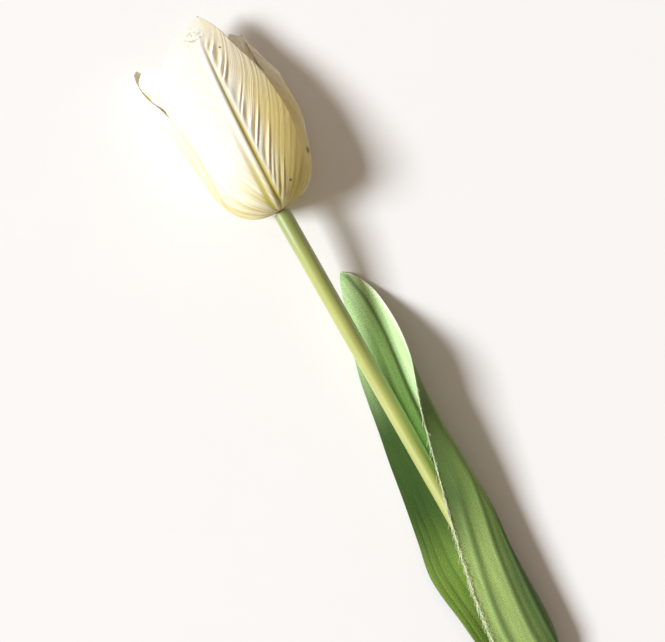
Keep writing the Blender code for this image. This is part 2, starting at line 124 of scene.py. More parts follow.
# Half of a petal's spread round the axis, in degrees, by share of its length
TOP_LEFT_HALF = (
    (0.0, 56.0), (0.1, 68.0), (0.2, 69.0), (0.28, 61.5), (0.38, 54.5), (0.46, 53.0), (0.55, 54.5),
    (0.7, 57.0), (0.84, 45.5), (0.93, 31.0), (0.975, 17.0), (1.0, 0.0),
)
TOP_RIGHT_HALF = (
    (0.0, 52.0), (0.12, 56.0), (0.3, 55.0), (0.45, 52.0), (0.7, 43.0), (0.86, 28.5), (0.94, 16.5),
    (1.0, 0.0),
)
BROAD_HALF = (
    (0.0, 56.0), (0.12, 64.0), (0.3, 64.0), (0.5, 61.0), (0.7, 57.0), (0.85, 48.0), (0.94, 34.0),
    (0.98, 20.0), (1.0, 0.0),
)
SLIM_HALF = (
    (0.0, 56.0), (0.12, 62.0), (0.3, 63.0), (0.5, 60.0), (0.7, 48.0), (0.86, 32.0), (0.95, 17.0),
    (1.0, 0.0),
)
INNER_HALF = ((0.0, 48.0), (0.2, 51.0), (0.5, 52.0), (0.72, 50.0), (0.87, 40.0), (0.95, 27.0), (1.0, 0.0))
# Turn of the midrib round the axis, in degrees, by share of its length
TOP_LEAN = ((0.0, 0.0), (0.46, 3.3), (0.82, 9.0), (0.93, 14.0), (1.0, 23.0))
LEFT_LEAN = ((0.0, 0.0), (0.6, 0.5), (1.0, 2.0))
RIGHT_LEAN = ((0.0, 0.0), (0.6, -1.0), (1.0, -5.0))

# Each petal's solid, direction round the axis in degrees, with 0 up and 90 to the right, how far it
# lies inside the outermost layer, its share of the cup's length, the halves of its outline on its
# left and right seen from outside with the tip up, the lean of its midrib, outer or not, and how
# much tint its margins get: partly dye, partly painted shade, so less on the petals on the window's side
Petal = namedtuple("Petal", "node direction layer length left_half right_half lean is_outer tint")
PETALS = (
    Petal("petal_outer_top", 0.0, 0.0, 1.0, TOP_LEFT_HALF, TOP_RIGHT_HALF, TOP_LEAN, True, 1.0),
    Petal("petal_outer_right", 114.0, MIDDLE_LAYER, 0.87, BROAD_HALF, SLIM_HALF, RIGHT_LEAN, True, 0.9),
    Petal("petal_outer_left", -114.0, MIDDLE_LAYER, 0.955, SLIM_HALF, BROAD_HALF, LEFT_LEAN, True, 0.5),
    Petal("petal_inner_right", 60.0, INNER_LAYER, 0.88, INNER_HALF, INNER_HALF, RIGHT_LEAN, False, 0.35),
    Petal("petal_inner_left", -60.0, INNER_LAYER, 0.935, INNER_HALF, INNER_HALF, LEFT_LEAN, False, 0.15),
    Petal("petal_inner_bottom", 180.0, INNER_LAYER, 0.9, INNER_HALF, INNER_HALF, LEFT_LEAN, False, 0.5),
)

# Half of a petal: creases from the claw, creases from the midrib, mesh rows for each, and columns, of
# which a share is evenly spaced
OUTER_CREASES = (8, 15, 8, 38)
INNER_CREASES = (6, 12, 6, 26)
EVEN_COLUMNS = 0.4
PETAL_SEED = 5
# Petal creases, pressed from the claw and the midrib up to the margin
VEIN_CLIMB = 0.57
VEIN_CLIMB_FALL = 0.8
VEIN_BEND = 0.8
CREASE_SHARPNESS = 1.35
CREASE_STRENGTH = (0.45, 1.2)
CREASE_WANDER = 0.25
CREASE_WANDER_TURN = 2.3
CREASE_RISE = (0.1, 0.22)
CREASE_FALL = (0.2, 0.46)
CREASE_FALL_VARIES = 0.15
MARGIN_CREASE = 0.14
# Tint on the margins, partly dye and partly painted shade, by share of the half width, and how much of
# it is lost towards the tip
MARGIN_TINT_RISE = (0.12, 0.6)
TINT_TIP_LOSS = 0.7
TINT_TIP_FADE = (0.45, 0.85)
# The top petal's left half, which faces the window, is pressed flatter and gets less tint on its
# margin, and its rim gets a line of painted shadow
FLAT_CREASE = 0.13
FLAT_TINT = 0.3
FLAT_TINT_RISE = (0.75, 1.0)
RIM_SHADOW = 0.7
RIM_SHADOW_RISE = (0.93, 1.0)
RIM_SHADOW_FADE = (0.5, 0.8)
# Relief across the midrib: height, place right of the middle line and half width of each ridge or
# groove, in millimetres, and the share of the petal's length above which it fades out
RIB_RELIEF = (
    (0.26, -0.35, 0.60, RIB_TIP_FADE),
    (-0.32, 0.95, 0.45, RIB_TIP_FADE),
    (0.20, 2.30, 0.80, RIB_TIP_FADE),
    (-0.12, -1.80, 0.80, (0.3, 0.55)),
)
# Radius of the cup below which the relief narrows, and its least share
RIB_FULL_RADIUS = 11.0
RIB_NARROWEST = 0.2
# Small stains on the petals: place in the frame, radius, the speck noise above which they show, and
# their strength. Then the share of the radius with full strength, and the softness of the specks.
STAINS = (
    (8.9, 151.6, 13.5, 0.5, 0.2, 0.9), (7.5, 104.6, 23.1, 0.6, 0.2, 0.9),
    (16.9, 110.9, 13.3, 1.5, 0.16, 1.0), (3.2, 158.0, 12.9, 4.2, 0.52, 0.4),
)
STAIN_CORE = 0.4
SPECK_SOFTNESS = 0.1

# Dye on the claw, and painted shade in the crease valleys, in the groove right of the midrib and on its
# left flank. Each pair is where it starts and ends: by share of the petal's length, by crease height, or
# by distance in millimetres from the middle of its line. The others say how strong it is.
CLAW_DYE_FADE = (0.1, 0.46)
STREAK_NOISE = (0.35, 0.65)
CLAW_STREAKS = (0.3, 1.0)
CREASE_SHADE_DEPTH = (0.1, -0.9)
CREASE_SHADE = (0.0, 0.8)
GROOVE_SHADOW_WIDTH = (1.0, 0.35)
GROOVE_SHADOW_FADE = (0.5, 0.92)
GROOVE_SHADOW = (1.0, 0.0)
FLANK_SHADOW_WIDTH = (1.5, 0.2)
FLANK_SHADOW_FADE = (0.22, 0.55)
FLANK_SHADOW = (0.9, 0.0)

# Fine veins drawn between two creases, and how high they stand by the tint of the margins
FINE_VEINS = 5
FINE_VEIN_TINT = (0.1, 0.9)
FINE_VEIN_RELIEF = (0.06, 0.5)
GRAIN_RELIEF = 0.6

# Leaf: distance back from the bloom, then seven points across, each as X and height: left margin,
# left middle, bottom, fold, right side, crest and right margin
LEAF_SECTIONS = (
    (24.3, (6.8, 0.5), (6.8, 0.5), (6.8, 0.5), (6.8, 0.5), (6.8, 0.5), (6.8, 0.5), (6.8, 0.5)),
    (26.5, (5.5, 0.5), (6.0, 0.5), (6.8, 0.5), (7.8, 0.5), (8.5, 0.6), (9.0, 0.8), (9.5, 1.0)),
    (30.5, (4.0, 0.5), (5.0, 0.5), (6.4, 0.5), (8.6, 0.5), (9.9, 0.7), (11.0, 1.1), (12.0, 1.5)),
    (36.0, (2.2, 0.5), (4.0, 0.5), (6.2, 0.5), (9.3, 0.5), (11.2, 1.0), (12.6, 2.0), (13.7, 3.1)),
    (47.0, (-1.7, 0.5), (1.0, 0.5), (4.6, 0.5), (9.2, 0.5), (11.6, 2.0), (13.2, 4.9), (14.2, 8.0)),
    (57.0, (-4.5, 0.5), (-0.7, 0.5), (3.6, 0.35), (8.2, 0.35), (11.2, 3.5), (12.6, 8.2), (12.8, 12.8)),
    (65.0, (-6.0, 0.5), (-1.6, 0.5), (2.6, 0.35), (7.2, 0.35), (10.9, 4.5), (11.8, 10.5), (10.1, 15.0)),
    (74.0, (-7.5, 0.6), (-2.6, 0.5), (2.0, 0.35), (6.4, 0.35), (10.6, 5.2), (11.0, 11.8), (7.0, 15.4)),
    (84.0, (-9.4, 0.7), (-4.0, 0.5), (1.0, 0.35), (5.6, 0.35), (10.5, 5.0), (10.4, 12.0), (4.4, 13.8)),
    (97.0, (-11.5, 0.9), (-5.5, 0.5), (0.2, 0.35), (5.3, 0.35), (10.8, 4.9), (10.6, 10.6), (1.2, 11.4)),
    (111.0, (-14.0, 1.2), (-7.0, 0.5), (0.0, 0.35), (5.1, 0.35), (11.1, 4.6), (10.7, 9.0), (-2.3, 9.6)),
    (123.0, (-16.1, 1.8), (-7.8, 0.5), (-0.5, 0.35), (4.9, 0.35), (10.1, 4.0), (9.9, 8.2), (-4.9, 8.8)),
    (139.0, (-14.4, 3.2), (-7.4, 0.8), (-0.8, 0.35), (4.8, 0.35), (9.9, 4.0), (9.4, 7.8), (-7.9, 8.7)),
    (151.0, (-12.9, 4.6), (-7.1, 1.6), (-1.2, 0.4), (4.4, 0.6), (9.6, 3.9), (8.8, 7.6), (-8.8, 8.9)),
    (160.0, (-10.0, 5.8), (-5.9, 2.5), (-1.4, 0.4), (3.6, 0.6), (8.3, 3.7), (7.2, 7.6), (-6.5, 8.9)),
    (168.0, (-5.8, 6.8), (-4.5, 3.3), (-1.8, 0.5), (2.3, 0.6), (5.2, 3.6), (4.1, 7.3), (-3.0, 8.1)),
)
FOLD_POINT = 3
CLASP_STATIONS = (176.0, 187.0)
CLASP_RADIUS = 3.65
CLASP_ANGLES = (-150.0, -96.0, -40.0, 20.0, 80.0, 138.0, 195.0)
# Distance from the bare edge that the left half is given, because its own edge isn't bare
FAR_FROM_EDGE = 50.0
# Distances back from the bloom between which the cut edge starts and stops to fray, how much it does
# by that distance, and the share below which a point carries no yarn
FRAYED_FROM = (60.0, 72.0)
FRAYED_TO = (163.0, 167.0)
FRAY_STRENGTH = ((60.0, 0.15), (92.0, 0.25), (104.0, 0.6), (120.0, 1.0), (165.0, 1.0))
LEAST_FRAY = 0.01
YARN_SPACING = 0.3 * MM
YARN_SEED = 4
YARN_SIDES = 5
# Wander of the strands: step in the noise from one to the next, its fineness and its middle
STRAND_STEP = 3.7
STRAND_NOISE_SCALE = 230.0
STRAND_NOISE_MIDDLE = (0.5, 0.5, 0.4)
# Yarn ends: mesh points, bend, scatter of their direction, lean outwards, and their least length
END_POINTS = 5
END_BEND = ((0.0, 0.0, 0.0), (0.1, 0.0, 0.6), (0.45, 0.1, 1.0))
END_SCATTER = ((-0.4, -0.4, -0.3), (0.4, 0.4, 0.1))
END_LEAN = 0.45
SHORTEST_END = 0.3
# Columns of the mesh over which the direction out of the edge is taken
OUTWARD_COLUMNS = 5
LEAF_ROWS = 230
LEAF_COLUMNS = 190
LEAF_ROW_GROWTH = 0.25
LEAF_TIP_FADE = (2.0, 20.0)
LEAF_FOOT_FADE = (10.0, 22.0)
# Heights of the cloth's middle between which the pleats rise, so that it lies flat on the surface
PLEAT_START = (0.36, 0.5)
LEFT_PLEATS = 8
FLAP_PLEATS = 5
PLEATED_FROM = (88.0, 118.0)
LEFT_PLEAT_DEPTH = 0.06
FLAP_PLEAT_DEPTH = 0.26
PLEAT_WIDTH = 0.17
PLEAT_CREST = 0.35
# How far the pleats drift, and the turn of that drift across the leaf and for each millimetre along it
PLEAT_DRIFT = 0.035
DRIFT_ACROSS = 9.0
DRIFT_ALONG = 0.02
# Pressed groove beside the fold at the leaf's tip: depth, place, half width, and where it begins, where
# the cloth rises round it, and where both fade out
GROOVE_DEPTH = 0.15
GROOVE_PLACE = 0.4
GROOVE_WIDTH = 0.75
GROOVE_START = (0.0, 3.0)
GROOVE_RISE = (1.0, 8.0)
GROOVE_FADE = (70.0, 92.0)
# How dark the pleats and the groove are painted, as painted shade
LEFT_PLEAT_TONE = 0.4
FLAP_PLEAT_TONE = 0.9
GROOVE_TONE = 0.95
# Millimetres of cloth for one unit of the flat layout
LAYOUT_UNIT = 100.0

# Tones of the leaf by share of its length, where 0 is the tip. Towards the foot it is made paler with
# painted light, where the cloth tilts up towards the window
LEAF_MIDDLE_STARTS = (0.075, 0.34)
LEAF_TIP_ENDS = (0.26, 0.36)
LEAF_LIT_FROM = (0.47, 0.64)
# Tones of the leaf across it, where -1 is the left margin, 0 the fold and 1 the right margin. The crest
# and shaded side ones keep painted shade on the flap's wall that faces away from the window, and the tip
# rim one paints a pale sheen on the rim at the tip
LEAF_RIGHT_SIDE = (-0.35, 0.05)
LEAF_CREST = (0.42, 0.68)
LEAF_SHADED_SIDE = (0.78, 0.55)
LEAF_TIP_RIM = (0.58, 0.98)
LEAF_MARGIN = (0.6, 0.85)
# Streaks and salt-and-pepper threads by their noise, painted shade by the depth of the pleats and the
# groove, and bare yarn by the distance in millimetres from the cut edge
TONE_NOISE = (0.3, 0.7)
STREAK_TONES = (0.86, 1.14)
PEPPER_TONES = (0.74, 1.26)
PLEAT_SHADE_DEPTH = (0.0, -1.0)
PLEAT_SHADE = (0.0, 0.7)
BARE_EDGE = (0.4, 0.1)
BARE_EDGE_SHARE = (0.0, 0.6)
# Patterns of the cloth: size of the specks and their relief, stretch of the streaks along the leaf,
# size of the weave, and of the tones of loose yarn
PEPPER_SCALE = 270.0
PEPPER_RELIEF = 1.2
STREAK_STRETCH = (1.0, 0.08, 1.0)
WEAVE_SCALE = 80.0
YARN_TONE_SCALE = 400.0

# Pistil and stamens: radius and height above the stem's end
PISTIL_PROFILE = (
    (0.0, 4.9), (2.2, 4.9), (2.25, 6.8), (2.4, 9.0), (2.3, 11.5), (1.7, 14.0), (1.5, 15.3),
    (1.9, 16.4), (1.6, 17.5), (0.0, 17.9),
)
TURNED_ROWS = 96
PISTIL_SIDES = 72
LOBES = 3
# Furrows of the ovary: depth, sharpness, and the heights between which they start and end
OVARY_FURROW = 0.07
FURROW_SHARPNESS = 0.7
FURROW_START = (5.5, 7.5)
FURROW_END = (13.0, 15.0)
# Lobes on its top: reach and height of their middles, their half length, width and height, and the
# radius below which the pistil has none, where it closes on its axis
LOBE_REACH = 1.5
LOBE_HEIGHT = 16.7
LOBE_SIZE = (1.9, 0.75, 0.8)
LOBE_CLEAR = 0.2
RING_PROFILE = ((2.65, 4.65), (4.3, 4.65), (4.3, 5.6), (3.9, 6.1), (2.65, 6.1), (2.65, 4.65))
RING_SIDES = 72
STAMEN_COUNT = 6
STAMEN_SEED = 3
STAMEN_SIDES = 20
FILAMENT_ROWS = 14
ANTHER_ROWS = 25
FILAMENT_FOOT = 3.45
FILAMENT_FOOT_HEIGHT = 5.3
FILAMENT_LENGTH = 9.0
FILAMENT_RADIUS = 0.6
FILAMENT_TAPER = 0.7
FILAMENT_LEAN = math.radians(6.0)
ANTHER_LENGTH = 5.5
ANTHER_RADIUS = 1.05
ANTHER_SEAT = 0.35
ANTHER_BLUNTNESS = 0.8
ANTHER_FURROW = 0.25
ANTHER_FURROW_SHARPNESS = 6
STAMEN_UNEVENNESS = math.radians(1.5)

# Photograph: its width in pixels, the real size of one pixel on the surface, the camera's height, the
# point below it from the bloom's foot, and the turn of its upward direction from the stem's
PHOTO_WIDTH = 665
PIXEL = 0.316 * MM
CAMERA_HEIGHT = 450.0 * MM
CAMERA_OVER = (-2.9 * MM, -36.6 * MM)
CAMERA_TURN = math.radians(29.6)
SENSOR = 36.0
CLIP_START = 10.0 * MM
# Direction to the window in the photograph, as right, up and towards the camera
WINDOW_DISTANCE = 12.0
WINDOW_RIGHT = -1.3
WINDOW_UP = -0.2
WINDOW_COLOUR = "F5FAFF"
ROOM_COLOUR = "F2DEC8"
BOARD_REACH = 2.0
BOARD_TONES = (0.985, 1.0)

# Points of a dense curve for each point that it runs through
FINENESS = 24
LEAF_FINENESS = 40
WELD = 0.004 * MM
SHARP_FOLD = math.radians(50.0)


def linear(code):
    """Linear colour, with full alpha, of an sRGB hex code."""
    channels = [int(code[i:i + 2], 16) / 255 for i in (0, 2, 4)]
    return tuple(c / 12.92 if c <= 0.04045 else ((c + 0.055) / 1.055) ** 2.4 for c in channels) + (1.0,)


def smooth_step(low, high, x):
    """Rise from 0 at low to 1 at high."""
    share = np.clip((np.asarray(x, float) - low) / (high - low), 0.0, 1.0)
    return share * share * (3 - 2 * share)


def bump(x, middle, half_width):
    """Rounded ridge of height 1."""
    return np.exp(-((x - middle) / half_width) ** 2)


def table_values(knots, rows, x):
    """Smooth values at x through rows of numbers placed at rising knots, as in the solids."""
    knots, rows, x = np.asarray(knots, float), np.asarray(rows, float), np.asarray(x, float)
    last = len(knots) - 1
    before = np.maximum(np.arange(last + 1) - 1, 0)
    after = np.minimum(np.arange(last + 1) + 1, last)
    slopes = (rows[after] - rows[before]) / (knots[after] - knots[before])[:, None]
    x = np.clip(x, knots[0], knots[-1])
    i = np.clip(np.searchsorted(knots, x, side="right") - 1, 0, last - 1)
    step = (knots[i + 1] - knots[i])[..., None]
    share = (x - knots[i])[..., None] / step
    start, end = rows[i], rows[i + 1]
    start_rise, end_rise = slopes[i] * step, slopes[i + 1] * step
    bend = 2 * (start - end) + start_rise + end_rise
    return start + share * (start_rise + share * (end - start - start_rise - bend + share * bend))


def table_value(table, x):
    """Smooth value at x from a table of (x, value) pairs."""
    rows = np.asarray(table, float)
    return table_values(rows[:, 0], rows[:, 1:], x)[..., 0]


def dense_curve(points, fineness):
    """Smooth curve through points, with the distance along it of each of its points and of each knot."""
    points = np.asarray(points, float)
    steps = np.maximum(np.linalg.norm(np.diff(points, axis=0), axis=1), 1e-6)
    knots = np.concatenate(([0.0], np.cumsum(steps)))
    at = np.linspace(0.0, knots[-1], fineness * len(points) + 1)
    dense = table_values(knots, points, at)
    runs = np.maximum(np.linalg.norm(np.diff(dense, axis=0), axis=1), 1e-9)
    lengths = np.concatenate(([0.0], np.cumsum(runs)))
    return dense, lengths, np.interp(knots, at, lengths)


def at_lengths(dense, lengths, goals):
    """Points of a curve at distances along it."""
    return np.stack([np.interp(goals, lengths, column) for column in dense.T], axis=-1)


def evenly_spaced(points, count):
    """Count + 1 points at equal distances along a smooth curve through the given points."""
    dense, lengths, _ = dense_curve(points, FINENESS)
    return at_lengths(dense, lengths, np.linspace(0.0, lengths[-1], count + 1))


def add_node(tree, kind, inputs=None, out=0, **settings):
    """Add a node to a tree, set it, fill or link its inputs by name or number, and give one output."""
    node = tree.nodes.new(kind)
    for key, value in settings.items():
        setattr(node, key, value)
    for key, value in (inputs or {}).items():
        if isinstance(value, bpy.types.NodeSocket):
            tree.links.new(value, node.inputs[key])
        else:
            node.inputs[key].default_value = value
    return node.outputs[out] if len(node.outputs) else None


def calc(tree, operation, *values):
    """Add a sum on one to three numbers."""
    return add_node(tree, "ShaderNodeMath", dict(enumerate(values)), operation=operation)


def ramp(tree, value, span, result=(0.0, 1.0), smooth=False):
    """Carry a value over from a span to a result, in proportion or smoothly, and hold it at both ends."""
    return add_node(tree, "ShaderNodeMapRange", {
        "Value": value, "From Min": span[0], "From Max": span[1], "To Min": result[0], "To Max": result[1]},
        interpolation_type="SMOOTHSTEP" if smooth else "LINEAR")


def blend(tree, share, start, end, mode="MIX"):
    """Mix or multiply two colours."""
    return add_node(
        tree, "ShaderNodeMix", {0: share, 6: start, 7: end}, out=2, data_type="RGBA", blend_type=mode)


def stored(tree, name):
    """Read in a material a number that the mesh holds on its points."""
    return add_node(tree, "ShaderNodeAttribute", out="Fac", attribute_name=name)


def point_value(tree, name, kind="FLOAT"):
    """Read in a geometry tree what the points hold."""
    return add_node(tree, "GeometryNodeInputNamedAttribute", {"Name": name}, data_type=kind)


def vector_calc(tree, operation, first, second, out=0):
    """Add a sum on two vectors."""
    return add_node(tree, "ShaderNodeVectorMath", {0: first, 1: second}, out=out, operation=operation)


def scaled(tree, vector, scale):
    """Add the product of a vector and a number."""
    return add_node(tree, "ShaderNodeVectorMath", {0: vector, "Scale": scale}, operation="SCALE")


def noise(tree, place, scale, detail=2.0):
    """Add noise from 0 to 1, finer with a larger scale."""
    return add_node(tree, "ShaderNodeTexNoise", {"Vector": place, "Scale": scale, "Detail": detail})


def dress(tree, shader, colour, relief=None, strength=0.0, depth=0.0):
    """Lead a colour into a shader, and a relief if there is one."""
    tree.links.new(colour, shader.inputs["Base Color"])
    if relief is not None:
        normal = add_node(tree, "ShaderNodeBump", {
            "Height": relief, "Strength": strength, "Distance": depth})
        tree.links.new(normal, shader.inputs["Normal"])


def new_material(name, **finish):
    """Material whose shader has a finish on its own sockets, named in lower case with underscores."""
    material = bpy.data.materials.new(name)
    material.use_nodes = True
    shader = material.node_tree.nodes["Principled BSDF"]
    sockets = {socket.name.lower().replace(" ", "_"): socket for socket in shader.inputs}
    for key, value in finish.items():
        sockets[key].default_value = value
    return material, material.node_tree, shader


def new_tree(name, **inputs):
    """Geometry tree with named inputs, each given as a socket type and a default, and its inputs."""
    tree = bpy.data.node_groups.new(name, "GeometryNodeTree")
    tree.is_modifier = True
    tree.interface.new_socket("Geometry", in_out="OUTPUT", socket_type="NodeSocketGeometry")
    tree.interface.new_socket("Geometry", in_out="INPUT", socket_type="NodeSocketGeometry")
    for key, (kind, value) in inputs.items():
        socket = tree.interface.new_socket(key, in_out="INPUT", socket_type=kind)
        if value is not None:
            socket.default_value = value
    entry = tree.nodes.new("NodeGroupInput")
    return tree, entry.outputs


def end_tree(tree, geometry, material):
    """Realize what a geometry tree made, give it its material and lead it out."""
    real = add_node(tree, "GeometryNodeRealizeInstances", {"Geometry": geometry})
    dressed = add_node(tree, "GeometryNodeSetMaterial", {"Geometry": real, "Material": material})
    smooth = add_node(tree, "GeometryNodeSetShadeSmooth", {"Geometry": dressed})
    add_node(tree, "NodeGroupOutput", {"Geometry": smooth})


def grown(name, mesh, tree, **inputs):
    """Object made by a geometry tree on a mesh, with the tree's inputs set, turned to a plain mesh."""
    thing = bpy.data.objects.new(name, mesh)
    bpy.context.scene.collection.objects.link(thing)
    growth = thing.modifiers.new("growth", "NODES")
    growth.node_group = tree
    for item in tree.interface.items_tree:
        if item.in_out == "INPUT" and item.name in inputs:
            growth[item.identifier] = inputs[item.name]
    graph = bpy.context.evaluated_depsgraph_get()
    plain = bpy.data.meshes.new_from_object(
        thing.evaluated_get(graph), preserve_all_data_layers=True, depsgraph=graph)
    thing.modifiers.clear()
    thing.data = plain
    plain.name = name
    return thing


def line_mesh(name, points, **attributes):
    """Mesh of one chain of edges, with numbers or vectors on its points."""
    mesh = bpy.data.meshes.new(name)
    mesh.from_pydata(points, [(i, i + 1) for i in range(len(points) - 1)], [])
    for key, values in attributes.items():
        is_vector = np.ndim(values) == 2
        layer = mesh.attributes.new(key, "FLOAT_VECTOR" if is_vector else "FLOAT", "POINT")
        layer.data.foreach_set("vector" if is_vector else "value", np.ravel(values))
    return mesh


def bloom_matrix():
    """Place of the bloom: its X up, its Y to the right and its Z along the axis to the tips."""
    rise, run = math.sin(BLOOM_PITCH), math.cos(BLOOM_PITCH)
    x, y, z = BLOOM_FOOT.x, BLOOM_FOOT.y, STEM_ROUTE[0][1] * MM
    return Matrix(((0.0, 1.0, 0.0, x), (-rise, 0.0, run, y), (run, 0.0, rise, z), (0.0, 0.0, 0.0, 1.0)))


def placed(matrix, points):
    """Points moved by a matrix."""
    return np.asarray(points, float) @ np.array(matrix.to_3x3()).T + np.array(matrix.translation)


def grid_faces(rows, columns, first=0):
    """Corner numbers of the faces of a grid of points."""
    corner = first + (np.arange(rows - 1)[:, None] * columns + np.arange(columns - 1)[None, :]).ravel()
    return np.stack((corner, corner + 1, corner + columns + 1, corner + columns), axis=1)


def sheet_mesh(name, grids, attributes, flat_place):
    """Sheet from grids of points, welded where they meet, with numbers on its points and a flat layout."""
    points, faces, numbers, layout = [], [], {key: [] for key in attributes}, []
    count = 0
    for index, grid in enumerate(grids):
        rows, columns = grid.shape[:2]
        faces.append(grid_faces(rows, columns, count))
        points.append(grid.reshape(-1, 3))
        layout.append(flat_place[index].reshape(-1, 2))
        for key in attributes:
            numbers[key].append(attributes[key][index].ravel())
        count += rows * columns
    mesh = bpy.data.meshes.new(name)
    mesh.from_pydata(np.concatenate(points), [], np.concatenate(faces).tolist())
    for key, values in numbers.items():
        mesh.attributes.new(key, "FLOAT", "POINT").data.foreach_set("value", np.concatenate(values))
    corners = np.zeros(len(mesh.loops), int)
    mesh.loops.foreach_get("vertex_index", corners)
    mesh.uv_layers.new(name="flat").data.foreach_set("uv", np.concatenate(layout)[corners].ravel())
    shape = bmesh.new()
    shape.from_mesh(mesh)
    return closed_up(shape, mesh)


def closed_up(shape, mesh, fill=False):
    """Weld a shape, fill its holes if asked, turn its faces outwards and write it to a mesh."""
    bmesh.ops.remove_doubles(shape, verts=shape.verts, dist=WELD)
    if fill:
        bmesh.ops.holes_fill(shape, edges=shape.edges)
    bmesh.ops.recalc_face_normals(shape, faces=shape.faces)
    shape.to_mesh(mesh)
    shape.free()
    return mesh


def ringed_mesh(name, rings, open_after=None):
    """Mesh with faces from ring to ring of points. One gap may stay open, and is then capped."""
    shape = bmesh.new()
    rings = [[shape.verts.new(point) for point in ring] for ring in rings]
    for n, (low, high) in enumerate(zip(rings, rings[1:])):
        for i in range(0 if n == open_after else len(low)):
            after = (i + 1) % len(low)
            shape.faces.new((low[i], low[after], high[after], high[i]))
    return closed_up(shape, bpy.data.meshes.new(name), fill=open_after is not None)


def grid_area(points):
    """Area of a grid of points, from the diagonals of its faces."""
    rising = points[1:, 1:] - points[:-1, :-1]
    falling = points[1:, :-1] - points[:-1, 1:]
    return float(np.linalg.norm(np.cross(rising, falling), axis=-1).sum() / 2)


def add_object(name, mesh, *materials):
    """Object on a mesh, with its materials and smooth faces between its folds."""
    thing = bpy.data.objects.new(name, mesh)
    bpy.context.scene.collection.objects.link(thing)
    mesh.materials.clear()
    for material in materials:
        mesh.materials.append(material)
    mesh.shade_smooth()
    mesh.set_sharp_from_angle(angle=SHARP_FOLD)
    return thing


def thicken(sheet, thickness, back_material=0):
    """Give a sheet its thickness, half to each side."""
    wall = sheet.modifiers.new("thickness", "SOLIDIFY")
    wall.thickness = thickness
    wall.offset = 0.0
    wall.material_offset = back_material


def hand_over(piece, slot, *nodes):
    """Let a finished piece ride on the flower and stand for its solids, which it hides. Its slot is not
    used.
    """
    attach(piece, "root")
    if nodes:
        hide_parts(*nodes)


def line_shadow(tree, share, aside, place, width, fade, strength):
    """Painted shadow in one line beside a petal's midrib, which fades out towards the tip."""
    off_line = calc(tree, "SUBTRACT", aside, place)
    from_line = calc(tree, "ABSOLUTE", off_line)
    line = ramp(tree, from_line, width, smooth=True)
    return calc(tree, "MULTIPLY", line, ramp(tree, share, fade, strength))


def pressed_taffeta(settings):
    """Starched polyester taffeta, heat-pressed and air-brushed: a soft white with a faint sheen and
    yellow dye on the claw. The tan on the cut margins is partly dye and partly painted shade, and
    painted shade darkens the crease valleys, the groove beside the midrib, its flank and the top
    petal's left rim."""
    material, tree, shader = new_material(
        "pressed_taffeta", roughness=0.62, ior=1.5, specular_ior_level=0.35, sheen_weight=0.9,
        sheen_tint=linear("FFEFC0"), sheen_roughness=0.45, subsurface_weight=0.25, subsurface_scale=0.003,
        subsurface_radius=(1.0, 0.85, 0.5))
    share = stored(tree, "share")
    crease = stored(tree, "crease")
    vein = stored(tree, "vein")
    along_vein = add_node(tree, "ShaderNodeCombineXYZ", {"X": vein, "Y": share})
    streaks = noise(tree, along_vein, scale=2.2, detail=3.0)
    claw = ramp(tree, share, CLAW_DYE_FADE, (1.0, 0.0), smooth=True)
    claw_streaks = ramp(tree, streaks, STREAK_NOISE, CLAW_STREAKS)
    claw_dye = calc(tree, "MULTIPLY", claw, claw_streaks)
    tint = stored(tree, "tint")
    aside = stored(tree, "aside")
    # Painted shade: a darker yellow in the crease valleys
    valley_shade = ramp(tree, crease, CREASE_SHADE_DEPTH, CREASE_SHADE)
    # The margin tint is partly dye and partly painted shade
    cloth = blend(tree, tint, settings.cloth_colour, settings.margin_colour)
    creased = blend(tree, valley_shade, cloth, settings.crease_shade_colour)
    # Painted shadow of the midrib's ridge in the groove right of it and on its left flank, and a painted
    # shadow line on the top petal's left rim
    groove, flank = RIB_RELIEF[1][1], RIB_RELIEF[3][1]
    right_shadow = line_shadow(tree, share, aside, groove, GROOVE_SHADOW_WIDTH, GROOVE_SHADOW_FADE, GROOVE_SHADOW)
    left_shadow = line_shadow(tree, share, aside, flank, FLANK_SHADOW_WIDTH, FLANK_SHADOW_FADE, FLANK_SHADOW)
    rib_shadow = calc(tree, "MAXIMUM", right_shadow, left_shadow)
    rim = stored(tree, "rim")
    groove_shadow = calc(tree, "MAXIMUM", rib_shadow, rim)
    grooved = blend(tree, groove_shadow, creased, settings.groove_shade_colour)
    dyed = blend(tree, claw_dye, grooved, settings.claw_colour)
    place = add_node(tree, "ShaderNodeTexCoord", out="Object")
    specks = noise(tree, place, scale=900.0)
    stained = dyed
    for x, y, z, radius, threshold, strength in STAINS:
        spot = (x * MM, y * MM, z * MM)
        away = vector_calc(tree, "DISTANCE", place, spot, out="Value")
        near = ramp(tree, away, (radius * MM, STAIN_CORE * radius * MM), (0.0, strength))
        strong = ramp(tree, specks, (threshold, threshold + SPECK_SOFTNESS))
        stain = calc(tree, "MULTIPLY", near, strong)
        stained = blend(tree, stain, stained, settings.stain_colour)
    fine_veins = calc(tree, "MULTIPLY", vein, FINE_VEINS * math.tau)
    vein_wave = calc(tree, "SINE", fine_veins)
    grain = noise(tree, place, scale=1600.0)
    vein_share = ramp(tree, tint, FINE_VEIN_TINT, FINE_VEIN_RELIEF)
    fine_relief = calc(tree, "MULTIPLY", vein_wave, vein_share)
    relief = calc(tree, "MULTIPLY_ADD", grain, GRAIN_RELIEF, fine_relief)
    dress(tree, shader, stained, relief, strength=0.6, depth=0.12 * MM)
    return material


